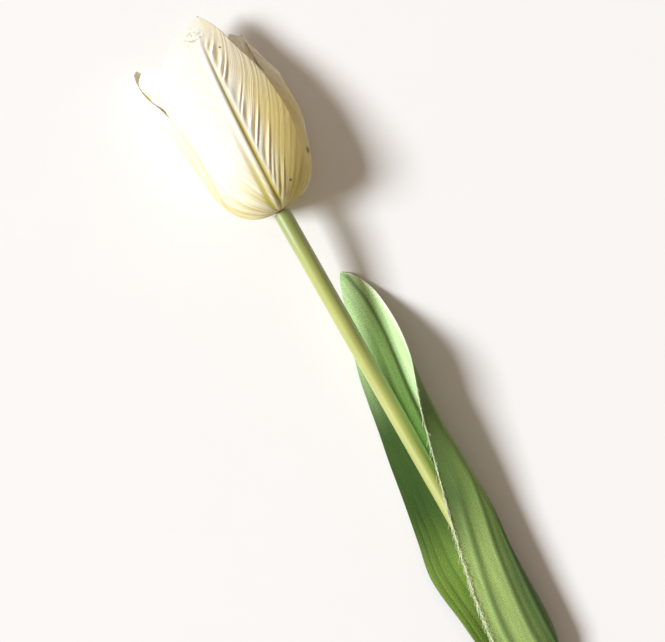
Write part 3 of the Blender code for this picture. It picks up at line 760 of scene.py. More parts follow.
def woven_polyester(
        name, settings, near, middle, far, tip_reach=0.0, tip_rim_sheen=0.0, side_shade=0.0, margin_shade=0.0):
    """Plain-woven polyester, dyed and heat-pressed: a matt green with salt-and-pepper threads and a
    soft sheen on its turns. The threads are 0.2 mm wide and drawn at 0.4 mm, so that they show.
    Painted shade darkens its pleats, its groove and the flap's wall that faces away from the window,
    painted light makes it paler towards the foot, and a painted sheen whitens the rim at the tip."""
    material, tree, shader = new_material(
        name, roughness=0.58, ior=1.5, specular_ior_level=0.35, sheen_weight=0.1, sheen_roughness=0.4,
        sheen_tint=linear("F0F5D0"))
    along = stored(tree, "along")
    across = stored(tree, "across")
    edge = stored(tree, "edge")
    crease = stored(tree, "crease")
    flat = add_node(tree, "ShaderNodeUVMap", uv_map="flat")
    right_side = ramp(tree, across, LEAF_RIGHT_SIDE, smooth=True)
    held_back = calc(tree, "MULTIPLY_ADD", right_side, -tip_reach, along)
    to_middle = ramp(tree, held_back, LEAF_MIDDLE_STARTS, smooth=True)
    # Painted light: the cloth is paler towards the foot
    towards_foot = ramp(tree, along, LEAF_LIT_FROM, smooth=True)
    # Painted shade: on the outer face the flap's wall that faces away from the window stays darker
    from_crest = ramp(tree, across, LEAF_CREST, (1.0 - side_shade, 1.0), smooth=True)
    to_far = calc(tree, "MULTIPLY", towards_foot, from_crest)
    plain = blend(tree, to_middle, near, middle)
    # Painted sheen: a pale rim at the tip
    tip_rim = ramp(tree, across, LEAF_TIP_RIM, (0.0, tip_rim_sheen), smooth=True)
    tip_only = ramp(tree, along, LEAF_TIP_ENDS, (1.0, 0.0))
    painted_sheen = calc(tree, "MULTIPLY", tip_rim, tip_only)
    start = blend(tree, painted_sheen, plain, settings.thread_colour)
    to_margin = ramp(tree, across, LEAF_MARGIN, (0.0, margin_shade), smooth=True)
    # Painted shade on that wall towards the foot
    to_side = ramp(tree, across, LEAF_SHADED_SIDE, (0.0, side_shade), smooth=True)
    low_side = calc(tree, "MULTIPLY", to_side, towards_foot)
    outlying = calc(tree, "MAXIMUM", to_margin, low_side)
    shade = calc(tree, "MULTIPLY", outlying, to_middle)
    shaded = blend(tree, shade, start, settings.groove_shade_colour)
    ground = blend(tree, to_far, shaded, far)
    stretched = add_node(tree, "ShaderNodeMapping", {"Vector": flat, "Scale": STREAK_STRETCH})
    streaks = noise(tree, stretched, scale=75.0, detail=5.0)
    streak = ramp(tree, streaks, TONE_NOISE, STREAK_TONES)
    streaked = blend(tree, 1.0, ground, streak, mode="MULTIPLY")
    pepper = noise(tree, flat, scale=PEPPER_SCALE, detail=1.0)
    grain = ramp(tree, pepper, TONE_NOISE, PEPPER_TONES)
    peppered = blend(tree, 1.0, streaked, grain, mode="MULTIPLY")
    # Painted shade in the pleats and the pressed groove
    dark = ramp(tree, crease, PLEAT_SHADE_DEPTH, PLEAT_SHADE)
    grooved = blend(tree, dark, peppered, settings.groove_shade_colour)
    bare = ramp(tree, edge, BARE_EDGE, BARE_EDGE_SHARE)
    edged = blend(tree, bare, grooved, settings.thread_colour)
    warp = add_node(tree, "ShaderNodeTexWave", {"Vector": flat, "Scale": WEAVE_SCALE}, bands_direction="X")
    weft = add_node(tree, "ShaderNodeTexWave", {"Vector": flat, "Scale": WEAVE_SCALE}, bands_direction="Y")
    weave = calc(tree, "ADD", warp, weft)
    relief = calc(tree, "MULTIPLY_ADD", pepper, PEPPER_RELIEF, weave)
    dress(tree, shader, edged, relief, strength=0.5, depth=0.08 * MM)
    return material


def frayed_yarn(settings):
    """Bare ends of polyester yarn that the dye missed: pale, soft and slightly shiny."""
    material, tree, shader = new_material(
        "frayed_yarn", roughness=0.55, ior=1.5, specular_ior_level=0.4, sheen_weight=0.3)
    place = add_node(tree, "ShaderNodeTexCoord", out="Object")
    tint = noise(tree, place, scale=YARN_TONE_SCALE)
    colour = blend(tree, tint, settings.thread_colour, settings.thread_shade)
    dress(tree, shader, colour)
    return material


def moulded_polythene(name, settings):
    """Moulded polythene, dyed through: a smooth waxy yellow-green, greener under the bloom, with faint
    flow lines along it, and painted shade in the same green on its right side."""
    material, tree, shader = new_material(
        name, roughness=0.45, ior=1.51, specular_ior_level=1.0, coat_weight=0.6, coat_roughness=0.42,
        sheen_weight=0.6, sheen_roughness=0.5, sheen_tint=linear("FFFBE8"), subsurface_weight=0.1,
        subsurface_scale=0.001, subsurface_radius=(1.0, 1.0, 0.4))
    place = add_node(tree, "ShaderNodeTexCoord", out="Object")
    parts = add_node(tree, "ShaderNodeSeparateXYZ", {"Vector": place}, out="Y")
    under_bloom = (BLOOM_FOOT.y - GREEN_TOP_LENGTH, BLOOM_FOOT.y)
    top = ramp(tree, parts, under_bloom, (0.0, GREEN_TOP), smooth=True)
    right_half = (BLOOM_FOOT.x, BLOOM_FOOT.x + settings.radius)
    # Painted shade: a darker green towards the stem's right side, which faces away from the window
    right = ramp(tree, parts.node.outputs["X"], right_half, (0.0, STEM_SIDE_SHADE), smooth=True)
    greener = calc(tree, "MAXIMUM", top, right)
    drawn = add_node(tree, "ShaderNodeMapping", {"Vector": place, "Scale": FLOW_STRETCH})
    flow = noise(tree, drawn, scale=1500.0, detail=3.0)
    cloud = noise(tree, place, scale=90.0)
    body = blend(tree, cloud, settings.stem_colour, settings.stem_shade)
    coloured = blend(tree, greener, body, settings.stem_top_and_shade_colour)
    dress(tree, shader, coloured, flow, strength=0.3, depth=0.03 * MM)
    return material


def speckled_polythene(name, light, dark, grain_size):
    """Moulded polythene with dye dusted over it: dull, with fine speckles like pollen."""
    material, tree, shader = new_material(name, roughness=0.6, ior=1.51, specular_ior_level=0.3)
    place = add_node(tree, "ShaderNodeTexCoord", out="Object")
    dust = noise(tree, place, scale=1.0 / grain_size, detail=3.0)
    colour = blend(tree, dust, light, dark)
    dress(tree, shader, colour, dust, strength=0.5, depth=0.1 * MM)
    return material


def matt_board(settings):
    """Matt white board under the flower: clean, with a barely visible paper grain."""
    material, tree, shader = new_material("matt_board", roughness=0.9, specular_ior_level=0.1)
    place = add_node(tree, "ShaderNodeTexCoord", out="Object")
    grain = noise(tree, place, scale=60.0, detail=4.0)
    tone = ramp(tree, grain, (0.0, 1.0), BOARD_TONES)
    colour = blend(tree, 1.0, settings.board_colour, tone, mode="MULTIPLY")
    dress(tree, shader, colour)
    return material


def crease_rows(fans, ribs, fineness, seed):
    """Rows of a petal's mesh: crease count, start on the claw and the midrib, end on the margin, and
    the strength and reach of the crease there."""
    count = np.arange((fans + ribs) * fineness + 1) / fineness
    claw = np.clip(1 - count / fans, 0.0, 1.0)
    start = np.clip((count - fans) / ribs, 0.0, 1.0)
    start = start + CREASE_WANDER / ribs * np.sin(CREASE_WANDER_TURN * count) * np.sin(math.pi * start)
    climb = VEIN_CLIMB * (1 - start) ** VEIN_CLIMB_FALL
    end = np.where(count < fans, VEIN_CLIMB * count / fans, start + climb)
    draw = np.random.default_rng(seed)
    ridges = np.arange(fans + ribs + 2) - 0.5
    strength = np.interp(count, ridges, draw.uniform(*CREASE_STRENGTH, len(ridges)))
    reach = np.interp(count, ridges, draw.uniform(-CREASE_FALL_VARIES, CREASE_FALL_VARIES, len(ridges)))
    return count, claw, start, np.minimum(end, 1.0), strength, reach


def petal_columns(count):
    """Shares of the half width at the mesh's columns, closer together at the midrib."""
    share = np.linspace(0.0, 1.0, count)
    return EVEN_COLUMNS * share + (1 - EVEN_COLUMNS) * share ** 2


def petal_points(petal, settings, share, angle, lift):
    """Points of a petal at shares of its length and angles from its midrib, lifted outwards."""
    meridian = evenly_spaced(CUP_PROFILE, CUP_POINTS)
    at = share * petal.length * CUP_POINTS
    i = np.minimum(at.astype(int), CUP_POINTS - 1)
    step = meridian[i + 1] - meridian[i]
    size = np.linalg.norm(step, axis=-1)
    here = meridian[i] + step * (at - i)[..., None]
    run, rise = step[..., 0] / size, step[..., 1] / size
    height = here[..., 1] * MM - run * (lift - petal.layer)
    turn = np.radians(petal.direction + angle + table_value(petal.lean, share))
    side, up = np.sin(turn), np.cos(turn)
    sway = table_value(CUP_SWAY, height / MM) * MM * smooth_step(*SWAY_RISE, share)
    width = here[..., 0] * MM - petal.layer * rise + sway * side
    depth = here[..., 0] * MM * table_value(CUP_FLATNESS, here[..., 1]) - petal.layer * rise
    out = lift * rise / np.hypot(depth * side, width * up)
    sag = table_value(CUP_SAG, here[..., 1]) * MM
    local = np.stack((depth * up + out * width * up - sag, width * side + out * depth * side, height), -1)
    points = placed(bloom_matrix(), local)
    lowest = settings.thickness / 2 + (0.0 if petal.is_outer else INNER_LAYER - MIDDLE_LAYER)
    points[..., 2] = np.maximum(points[..., 2], lowest)
    return points


def petal_half(petal, settings, side, seed):
    """Half of a petal, with rows along its creases: points, their numbers, flat layout and cut size."""
    outer = petal.is_outer
    fans, ribs, fineness, width = OUTER_CREASES if outer else INNER_CREASES
    count, claw, start, end, strength, reach = (
        column[:, None] for column in crease_rows(fans, ribs, fineness, seed))
    q = petal_columns(width)[None, :]
    spread = claw + (1 - claw) * q
    share = start + (end - start) * q ** VEIN_BEND
    half = petal.left_half if side < 0 else petal.right_half
    angle = side * spread * np.maximum(table_value(half, share), 0.0)
    fade = smooth_step(*CLAW_RISE, share) * (1 - smooth_step(*TIP_FADE, share))
    pressed = smooth_step(*CREASE_RISE, spread)
    pressed = pressed * (1 - (1 - MARGIN_CREASE) * smooth_step(*CREASE_FALL, spread - reach))
    ridge = 2 * (1 - np.abs(2 * np.mod(count, 1.0) - 1)) ** CREASE_SHARPNESS - 1
    crease = ridge * strength * pressed * fade
    is_flat = petal.layer == 0.0 and side < 0
    # The margin tint is partly painted shade, and the rim gets a painted shadow line
    tint, rim = smooth_step(*MARGIN_TINT_RISE, spread), 0.0
    if is_flat:
        crease = crease * FLAT_CREASE
        tint = FLAT_TINT * smooth_step(*FLAT_TINT_RISE, spread)
        rim = RIM_SHADOW * smooth_step(*RIM_SHADOW_RISE, spread) * (1 - smooth_step(*RIM_SHADOW_FADE, share))
    tint = tint * petal.tint * (1 - TINT_TIP_LOSS * smooth_step(*TINT_TIP_FADE, share))
    radius = np.minimum(share * petal.length * CUP_POINTS, CUP_POINTS).astype(int)
    meridian = evenly_spaced(CUP_PROFILE, CUP_POINTS)
    cup_radius = meridian[radius][..., 0]
    aside = np.radians(angle) * cup_radius
    narrowed = np.clip(cup_radius / RIB_FULL_RADIUS, RIB_NARROWEST, 1.0)
    rib = sum(height * narrowed * bump(aside, place * narrowed, size * narrowed)
              * (1 - smooth_step(*fading, share)) for height, place, size, fading in RIB_RELIEF)
    keel = KEEL_HEIGHT * (1 - spread) ** 2 * fade if outer else 0.0
    lift = settings.crease_depth * crease + rib * MM + keel + (SOLID_CLOTH - settings.thickness) / 2
    closing = {0.0: 0.0, MIDDLE_LAYER: -TIP_CLOSING, INNER_LAYER: TIP_CLOSING}[petal.layer]
    lift = lift + closing * smooth_step(*TIP_CLOSING_RISE, share)
    points = petal_points(petal, settings, share, angle, lift)
    numbers = {
        "share": share, "crease": crease + 0.0 * share, "vein": count + 0.0 * share,
        "aside": aside / narrowed, "tint": tint + 0.0 * share, "rim": rim + 0.0 * share,
    }
    length = meridian_length() * petal.length
    layout = np.stack((aside / LAYOUT_UNIT + 0.5, share * length / LAYOUT_UNIT), -1)
    cut = np.abs(aside).max() * MM, grid_area(petal_points(petal, settings, share, angle, 0.0 * angle))
    return points, numbers, layout, cut


def meridian_length():
    """Length of the cup's profile, from the peg to the rim."""
    return dense_curve(CUP_PROFILE, FINENESS)[1][-1]


def make_petal(petal, settings, material, seed):
    """One petal with its pressed creases, midrib and groove."""
    halves = [petal_half(petal, settings, side, seed + side) for side in (-1, 1)]
    names = halves[0][1].keys()
    attributes = {key: [half[1][key] for half in halves] for key in names}
    name = petal.node.replace("petal", "cloth")
    mesh = sheet_mesh(name, [half[0] for half in halves], attributes, [half[2] for half in halves])
    thing = add_object(name, mesh, material)
    thicken(thing, settings.thickness)
    hand_over(thing, "petal_cloth", petal.node)


def leaf_sections():
    """Distances back from the bloom and control points across the leaf, with the clasp at its foot."""
    middle = float(table_value(STEM_ROUTE, CLASP_STATIONS[0]))
    angles = np.radians(CLASP_ANGLES)
    ring = np.stack((CLASP_RADIUS * np.sin(angles), middle - CLASP_RADIUS * np.cos(angles)), -1)
    stations = [section[0] for section in LEAF_SECTIONS] + list(CLASP_STATIONS)
    rows = [np.ravel(section[1:]) for section in LEAF_SECTIONS] + [ring.ravel()] * len(CLASP_STATIONS)
    return np.array(stations), np.array(rows)


def leaf_grid(settings):
    """Points of the leaf, its numbers on them, its flat layout, and its width, length and area when cut."""
    stations, rows = leaf_sections()
    first, last = stations[0], stations[-1]
    share = np.linspace(0.0, 1.0, LEAF_ROWS + 1)
    backs = first + (last - first) * (LEAF_ROW_GROWTH * share ** 2 + (1 - LEAF_ROW_GROWTH) * share)
    points = np.zeros((LEAF_ROWS + 1, LEAF_COLUMNS + 1, 3))
    plain = np.zeros_like(points)
    widths = []
    numbers = {key: np.zeros(points.shape[:2]) for key in ("along", "across", "edge", "crease")}
    layout = np.zeros(points.shape[:2] + (2,))
    thickness = settings.thickness / MM
    for n, (back, numbers_here) in enumerate(zip(backs, table_values(stations, rows, backs))):
        dense, lengths, knots = dense_curve(numbers_here.reshape(-1, 2), LEAF_FINENESS)
        width, fold = lengths[-1], knots[FOLD_POINT]
        at = np.linspace(0.0, width, LEAF_COLUMNS + 1)
        section = at_lengths(dense, lengths, at)
        slope = np.gradient(section, axis=0)
        slope /= np.maximum(np.linalg.norm(slope, axis=1), 1e-6)[:, None]
        inward = np.stack((-slope[:, 1], slope[:, 0]), -1)
        left = at < fold
        across = np.where(left, (at - fold) / max(fold, 1e-6), (at - fold) / max(width - fold, 1e-6))
        fade = smooth_step(*LEAF_TIP_FADE, back - first) * smooth_step(*LEAF_FOOT_FADE, last - back)
        fade = fade * smooth_step(*PLEAT_START, section[:, 1]) * smooth_step(*PLEATED_FROM, back)
        pleats = np.where(left, LEFT_PLEATS, FLAP_PLEATS)
        depth = np.where(left, LEFT_PLEAT_DEPTH, FLAP_PLEAT_DEPTH)
        drift = PLEAT_DRIFT * np.sin(DRIFT_ACROSS * across + DRIFT_ALONG * back)
        from_pleat = np.abs(np.mod(pleats * (across + drift) + 0.5, 1.0) - 0.5)
        pleat = (PLEAT_CREST - (1 + PLEAT_CREST) * bump(from_pleat, 0.0, PLEAT_WIDTH)) * fade
        fading = 1 - smooth_step(*GROOVE_FADE, back)
        groove = bump(at - fold, GROOVE_PLACE, GROOVE_WIDTH) * fading
        groove = groove * smooth_step(*GROOVE_START, back - first)
        rise = GROOVE_DEPTH * fading * smooth_step(*GROOVE_RISE, back - first)
        lift = pleat * depth - groove * GROOVE_DEPTH + rise - (SOLID_CLOTH / MM - thickness) / 2
        widths.append(width * MM)
        plain[n] = np.stack((section[:, 0], np.full_like(at, -back), section[:, 1]), -1) * MM
        section = section + inward * lift[:, None]
        section[:, 1] = np.maximum(section[:, 1], thickness / 2)
        points[n, :, 0] = BLOOM_FOOT.x + section[:, 0] * MM
        points[n, :, 1] = BLOOM_FOOT.y - back * MM
        points[n, :, 2] = section[:, 1] * MM
        numbers["along"][n] = (back - first) / (last - first)
        numbers["across"][n] = across
        numbers["edge"][n] = np.where(left, FAR_FROM_EDGE, width - at)
        # The crease number carries the painted shade of the pleats and the groove
        tone = np.where(left, LEFT_PLEAT_TONE, FLAP_PLEAT_TONE)
        numbers["crease"][n] = np.minimum(pleat, 0.0) * tone - GROOVE_TONE * groove
        layout[n, :, 0] = (at - fold) / LAYOUT_UNIT + 0.5
        layout[n, :, 1] = (back - first) / LAYOUT_UNIT
    runs = np.linalg.norm(np.diff(plain, axis=0), axis=-1).sum(axis=0)
    return points, numbers, layout, (max(widths), float(runs.max()), grid_area(plain))


def rod_tree():
    """Rod along a chain of points, as thick as each point says, with a mould seam on both sides."""
    tree, given = new_tree(
        "rod", Sides=("NodeSocketInt", 64), Seam=("NodeSocketFloat", 0.0),
        Material=("NodeSocketMaterial", None))
    path = add_node(tree, "GeometryNodeMeshToCurve", {"Mesh": given["Geometry"]})
    radius = point_value(tree, "radius")
    circle = add_node(tree, "GeometryNodeCurvePrimitiveCircle", {
        "Resolution": given["Sides"], "Radius": 1.0})
    index = add_node(tree, "GeometryNodeInputIndex")
    half = calc(tree, "MULTIPLY", given["Sides"], 0.5)
    beside = calc(tree, "MODULO", index, half)
    on_seam = calc(tree, "LESS_THAN", beside, 0.5)
    swell = calc(tree, "MULTIPLY_ADD", on_seam, given["Seam"], 1.0)
    place = add_node(tree, "GeometryNodeInputPosition")
    ridged = scaled(tree, place, swell)
    outline = add_node(tree, "GeometryNodeSetPosition", {"Geometry": circle, "Position": ridged})
    rod = add_node(tree, "GeometryNodeCurveToMesh", {
        "Curve": path, "Profile Curve": outline, "Scale": radius, "Fill Caps": True})
    end_tree(tree, rod, given["Material"])
    return tree


def stem_line(settings):
    """Points along the stem from its peg to its cut end, with the radius at each."""
    place = bloom_matrix()
    peg = placed(place, [(0.0, 0.0, height) for height in (PEG_TOP, STEM_TOP + SHOULDER, STEM_TOP)])
    route = evenly_spaced(STEM_ROUTE, STEM_ROWS)[1:]
    back, height = route[:, 0] * MM, route[:, 1] * MM
    points = np.stack((np.full(len(route), BLOOM_FOOT.x), BLOOM_FOOT.y - back, height), -1)
    points = np.concatenate((peg, points, points[-1:]))
    points[-2] += (points[-3] - points[-2]) / np.linalg.norm(points[-3] - points[-2]) * CUT_CHAMFER
    radius = np.full(len(points), settings.radius)
    radius[:2] = PEG_RADIUS
    radius[-1] = settings.radius - CUT_CHAMFER
    return points.tolist(), radius


def turned_mesh(name, profile, sides, radius_at=None):
    """Closed body turned round the bloom's axis, whose radius may change round it and with height."""
    rows = evenly_spaced(profile, TURNED_ROWS)
    angle = np.linspace(0.0, math.tau, sides, endpoint=False)
    radius, height = rows[:, :1], rows[:, 1:]
    reach = radius_at(radius, height, angle[None, :]) if radius_at else radius + 0.0 * angle[None, :]
    local = np.stack((reach * np.cos(angle), reach * np.sin(angle), height + 0.0 * reach), -1) * MM
    return ringed_mesh(name, placed(bloom_matrix(), local))


def pistil_radius(radius, height, angle):
    """Reach of the pistil: a furrowed ovary, with three rounded lobes spread on its top."""
    depth = OVARY_FURROW * smooth_step(*FURROW_START, height) * (1 - smooth_step(*FURROW_END, height))
    furrow = 1 - depth * (
        1 - np.abs(np.sin(LOBES / 2 * (angle + math.pi / LOBES))) ** FURROW_SHARPNESS)
    long, wide, tall = LOBE_SIZE
    lobes = np.zeros(np.broadcast_shapes(np.shape(height), np.shape(angle)))
    left = 1 - ((height - LOBE_HEIGHT) / tall) ** 2
    for n in range(LOBES):
        turn = angle - math.tau * n / LOBES
        across, beside = np.cos(turn), np.sin(turn)
        a = (across / long) ** 2 + (beside / wide) ** 2
        b = across * LOBE_REACH / long ** 2
        c = (LOBE_REACH / long) ** 2 - left
        root = b * b - a * c
        lobes = np.maximum(lobes, np.where(root > 0, (b + np.sqrt(np.maximum(root, 0.0))) / a, 0.0))
    return np.maximum(radius * furrow, np.where(radius > LOBE_CLEAR, lobes, 0.0))


def stamen_mesh():
    """One stamen at the origin: a tapered filament and an anther with a furrow along it."""
    turn = np.linspace(0.0, math.tau, STAMEN_SIDES, endpoint=False)
    rows = []
    for share in np.linspace(0.0, 1.0, FILAMENT_ROWS):
        size = FILAMENT_RADIUS * (1 - (1 - FILAMENT_TAPER) * share) * np.ones(STAMEN_SIDES)
        rows.append((size, FILAMENT_LENGTH * share))
    furrow = 1 - ANTHER_FURROW * np.abs(np.cos(turn)) ** ANTHER_FURROW_SHARPNESS
    for share in np.linspace(0.0, 1.0, ANTHER_ROWS):
        height = FILAMENT_LENGTH + ANTHER_LENGTH * (share - 0.5 + ANTHER_SEAT)
        size = ANTHER_RADIUS * math.sqrt(max(1 - (2 * share - 1) ** 2, 0.0)) ** ANTHER_BLUNTNESS
        rows.append((size * furrow, height))
    rings = [[(r * math.cos(t) * MM, r * math.sin(t) * MM, height * MM) for r, t in zip(size, turn)]
             for size, height in rows]
    return ringed_mesh("stamen", rings, open_after=FILAMENT_ROWS - 1)


def ring_of_stamens_tree():
    """Copies of the given body, spread evenly round the axis and leaned outwards."""
    tree, given = new_tree(
        "ring_of_stamens", Count=("NodeSocketInt", 6), Reach=("NodeSocketFloat", 0.0),
        Foot=("NodeSocketFloat", 0.0), Lean=("NodeSocketFloat", 0.0), Unevenness=("NodeSocketFloat", 0.0),
        Seed=("NodeSocketInt", 1), Material=("NodeSocketMaterial", None))
    points = add_node(tree, "GeometryNodePoints", {"Count": given["Count"]})
    index = add_node(tree, "GeometryNodeInputIndex")
    middle = calc(tree, "ADD", index, 0.5)
    share = calc(tree, "DIVIDE", middle, given["Count"])
    turn = calc(tree, "MULTIPLY", share, math.tau)
    cosine = calc(tree, "COSINE", turn)
    sine = calc(tree, "SINE", turn)
    aside = calc(tree, "MULTIPLY", cosine, given["Reach"])
    beside = calc(tree, "MULTIPLY", sine, given["Reach"])
    spot = add_node(tree, "ShaderNodeCombineXYZ", {"X": aside, "Y": beside, "Z": given["Foot"]})
    spread = add_node(tree, "GeometryNodeSetPosition", {"Geometry": points, "Position": spot})
    wander = add_node(tree, "FunctionNodeRandomValue", {2: -1.0, 3: 1.0, "Seed": given["Seed"]}, out=1)
    lean = calc(tree, "MULTIPLY_ADD", wander, given["Unevenness"], given["Lean"])
    angles = add_node(tree, "ShaderNodeCombineXYZ", {"Y": lean, "Z": turn})
    copies = add_node(tree, "GeometryNodeInstanceOnPoints", {
        "Points": spread, "Instance": given["Geometry"], "Rotation": angles})
    end_tree(tree, copies, given["Material"])
    return tree


def frayed_edge_tree():
    """Yarn along a cut edge: strands that wander beside it, and short ends that stick out of it."""
    tree, given = new_tree(
        "frayed_edge", Strands=("NodeSocketInt", 3), Spacing=("NodeSocketFloat", 0.0003),
        Thickness=("NodeSocketFloat", 0.0001), Stray=("NodeSocketFloat", 0.0005),
        EndLength=("NodeSocketFloat", 0.001), Seed=("NodeSocketInt", 1),
        Material=("NodeSocketMaterial", None))
    path = add_node(tree, "GeometryNodeMeshToCurve", {"Mesh": given["Geometry"]})
    fray = point_value(tree, "fray")
    outward = point_value(tree, "outward", "FLOAT_VECTOR")

    # Strands: copies of the edge, each moved by its own slow noise
    copies = tree.nodes.new("GeometryNodeDuplicateElements")
    copies.domain = "SPLINE"
    tree.links.new(path, copies.inputs["Geometry"])
    tree.links.new(given["Strands"], copies.inputs["Amount"])
    fine = add_node(tree, "GeometryNodeResampleCurve", {
        "Curve": copies.outputs["Geometry"], "Length": given["Spacing"]}, mode="LENGTH")
    place = add_node(tree, "GeometryNodeInputPosition")
    own = calc(tree, "MULTIPLY_ADD", copies.outputs["Duplicate Index"], STRAND_STEP, given["Seed"])
    wander = add_node(tree, "ShaderNodeTexNoise", {
        "Vector": place, "W": own, "Scale": STRAND_NOISE_SCALE, "Detail": 2.0},
        out="Color", noise_dimensions="4D")
    centred = vector_calc(tree, "SUBTRACT", wander, STRAND_NOISE_MIDDLE)
    reach = calc(tree, "MULTIPLY", fray, given["Stray"])
    shift = scaled(tree, centred, reach)
    strands = add_node(tree, "GeometryNodeSetPosition", {"Geometry": fine, "Offset": shift})

    # Ends: short bent yarns on some of the points
    spots = add_node(tree, "GeometryNodeCurveToPoints", {
        "Curve": path, "Length": given["Spacing"]}, mode="LENGTH")
    chosen = add_node(tree, "FunctionNodeRandomValue", {
        "Probability": fray, "Seed": given["Seed"]}, out=3, data_type="BOOLEAN")
    foot, bend, tip = END_BEND
    bent = add_node(tree, "GeometryNodeCurveQuadraticBezier", {
        "Resolution": END_POINTS, "Start": foot, "Middle": bend, "End": tip})
    low, high = END_SCATTER
    scatter = add_node(tree, "FunctionNodeRandomValue", {
        0: low, 1: high, "Seed": given["Seed"]}, data_type="FLOAT_VECTOR")
    leaning = scaled(tree, outward, END_LEAN)
    along = vector_calc(tree, "ADD", leaning, spots.node.outputs["Tangent"])
    heading = vector_calc(tree, "ADD", along, scatter)
    aim = add_node(tree, "FunctionNodeAlignRotationToVector", {"Vector": heading}, axis="Z")
    length = add_node(tree, "FunctionNodeRandomValue", {
        2: SHORTEST_END, 3: 1.0, "Seed": given["Seed"]}, out=1)
    size = calc(tree, "MULTIPLY", length, given["EndLength"])
    ends = add_node(tree, "GeometryNodeInstanceOnPoints", {
        "Points": spots, "Selection": chosen, "Instance": bent, "Rotation": aim, "Scale": size})
    loose = add_node(tree, "GeometryNodeRealizeInstances", {"Geometry": ends})

    both = tree.nodes.new("GeometryNodeJoinGeometry")
    tree.links.new(strands, both.inputs[0])
    tree.links.new(loose, both.inputs[0])
    outline = add_node(tree, "GeometryNodeCurvePrimitiveCircle", {
        "Resolution": YARN_SIDES, "Radius": 1.0})
    yarn = add_node(tree, "GeometryNodeCurveToMesh", {
        "Curve": both.outputs[0], "Profile Curve": outline, "Scale": given["Thickness"], "Fill Caps": True})
    end_tree(tree, yarn, given["Material"])
    return tree


def length_setting(name, description, default, low=0.0, high=None):
    """Setting for a length, given in millimetres."""
    limits = {} if high is None else {"max": high * MM}
    return bpy.props.FloatProperty(
        name=name, description=description, default=default * MM, min=low * MM, precision=5,
        unit="LENGTH", **limits)


def colour_setting(name, description, code):
    """Setting for a colour, given as sRGB hex."""
    return bpy.props.FloatVectorProperty(
        name=name, description=description, default=linear(code), size=4, min=0.0, max=1.0,
        subtype="COLOR")


class TulipPetalSettings(bpy.types.PropertyGroup):
    """Sizes and colours of the petals."""
    thickness: length_setting("Cloth thickness", "Thickness of the starched petal cloth", 0.35, 0.1, 1.0)
    crease_depth: length_setting(
        "Crease depth", "Height of the pressed creases above the petal's surface", 0.36, 0.0, 1.0)
    cloth_colour: colour_setting("Cloth colour", "Colour of the undyed cloth", "FEFAEA")
    # The margin tint is partly dye and partly painted shade
    margin_colour: colour_setting("Margin colour", "Tint towards the cut margins", "FFE592")
    # Painted shade in the crease valleys
    crease_shade_colour: colour_setting("Crease colour", "Painted shade in the creases", "E6C978")
    # Painted olive shadow beside the midrib and on the top petal's left rim
    groove_shade_colour: colour_setting("Groove colour", "Painted olive shadow beside the midrib", "AE9E44")
    claw_colour: colour_setting("Claw colour", "Air-brushed dye at the petal's foot", "C2B04A")
    stain_colour: colour_setting("Stain colour", "Small stains from handling", "4A4038")


class TulipLeafSettings(bpy.types.PropertyGroup):
    """Sizes and colours of the leaf and its threads."""
    thickness: length_setting("Cloth thickness", "Thickness of the leaf's woven cloth", 0.35, 0.1, 1.0)
    strands: bpy.props.IntProperty(
        name="Loose strands", description="Strands of yarn that run along the cut edge", default=4, min=1)
    yarn_radius: length_setting("Yarn radius", "Radius of a loose strand of yarn", 0.045, 0.02, 0.3)
    stray: length_setting("Stray", "How far the strands wander from the cut edge", 4.6)
    end_length: length_setting("End length", "Length of the longest yarn ends that stick out", 3.0)
    tip_colour: colour_setting("Tip colour", "Inner face of the leaf at its tip", "C0E2A0")
    inner_colour: colour_setting("Inner colour", "Inner face of the leaf along its middle", "3A581A")
    # Painted light: the inner face paler towards the foot
    inner_light_colour: colour_setting(
        "Lit inner colour", "Inner face of the leaf towards its foot", "7F9E42")
    outer_colour: colour_setting("Outer colour", "Outer face of the leaf near its tip", "7A964C")
    # Painted light: the outer face paler towards the foot
    outer_light_colour: colour_setting(
        "Lit outer colour", "Outer face of the leaf towards its foot", "9DB667")
    # Painted shade in the pleats and grooves and on the flap's shaded wall
    groove_shade_colour: colour_setting("Groove colour", "Painted shade in the pleats and grooves", "35501F")
    thread_colour: colour_setting("Thread colour", "Bare yarn at the cut edges", "F8FCE2")
    thread_shade: colour_setting("Thread shade", "Yarn that took some of the dye", "D8E0AE")


class TulipStemSettings(bpy.types.PropertyGroup):
    """Sizes and colours of the stem, the pistil and the stamens."""
    radius: length_setting("Stem radius", "Radius of the stem", 2.65, 1.0, 4.0)
    seam: length_setting(
        "Mould seam", "Height of the seam line that the mould leaves on both sides", 0.05, 0.0, 0.3)
    stem_colour: colour_setting("Stem colour", "Dyed plastic of the stem", "B6BA5C")
    stem_shade: colour_setting("Stem shade", "Slightly deeper clouds in the plastic", "9FA64C")
    # Greener under the bloom, and painted shade on the stem's right side
    stem_top_and_shade_colour: colour_setting("Stem top colour", "Greener under the bloom, with painted shade on its right side", "7F9440")
    pistil_colour: colour_setting("Pistil colour", "Dyed plastic of the pistil", "BCC46C")
    stamen_colour: colour_setting("Stamen colour", "Dyed plastic of the stamens", "C99B37")
    stamen_shade: colour_setting("Stamen shade", "Darker dust on the stamens", "8A6420")


class TulipStageSettings(bpy.types.PropertyGroup):
    """The board that the flower lies on, and its light."""
    board_colour: colour_setting("Board colour", "Matt board under the flower", "F1EFEE")
    window_power: bpy.props.FloatProperty(
        name="Window power", description="Power of the window's light in watts",
        default=2095.0, min=0.0, unit="POWER")
    window_size: bpy.props.FloatProperty(
        name="Window size", description="Side of the window",
        default=3.9, min=0.01, unit="LENGTH")
    room_strength: bpy.props.FloatProperty(
        name="Room light", description="Strength of the warm light from the room",
        default=0.36, min=0.0)


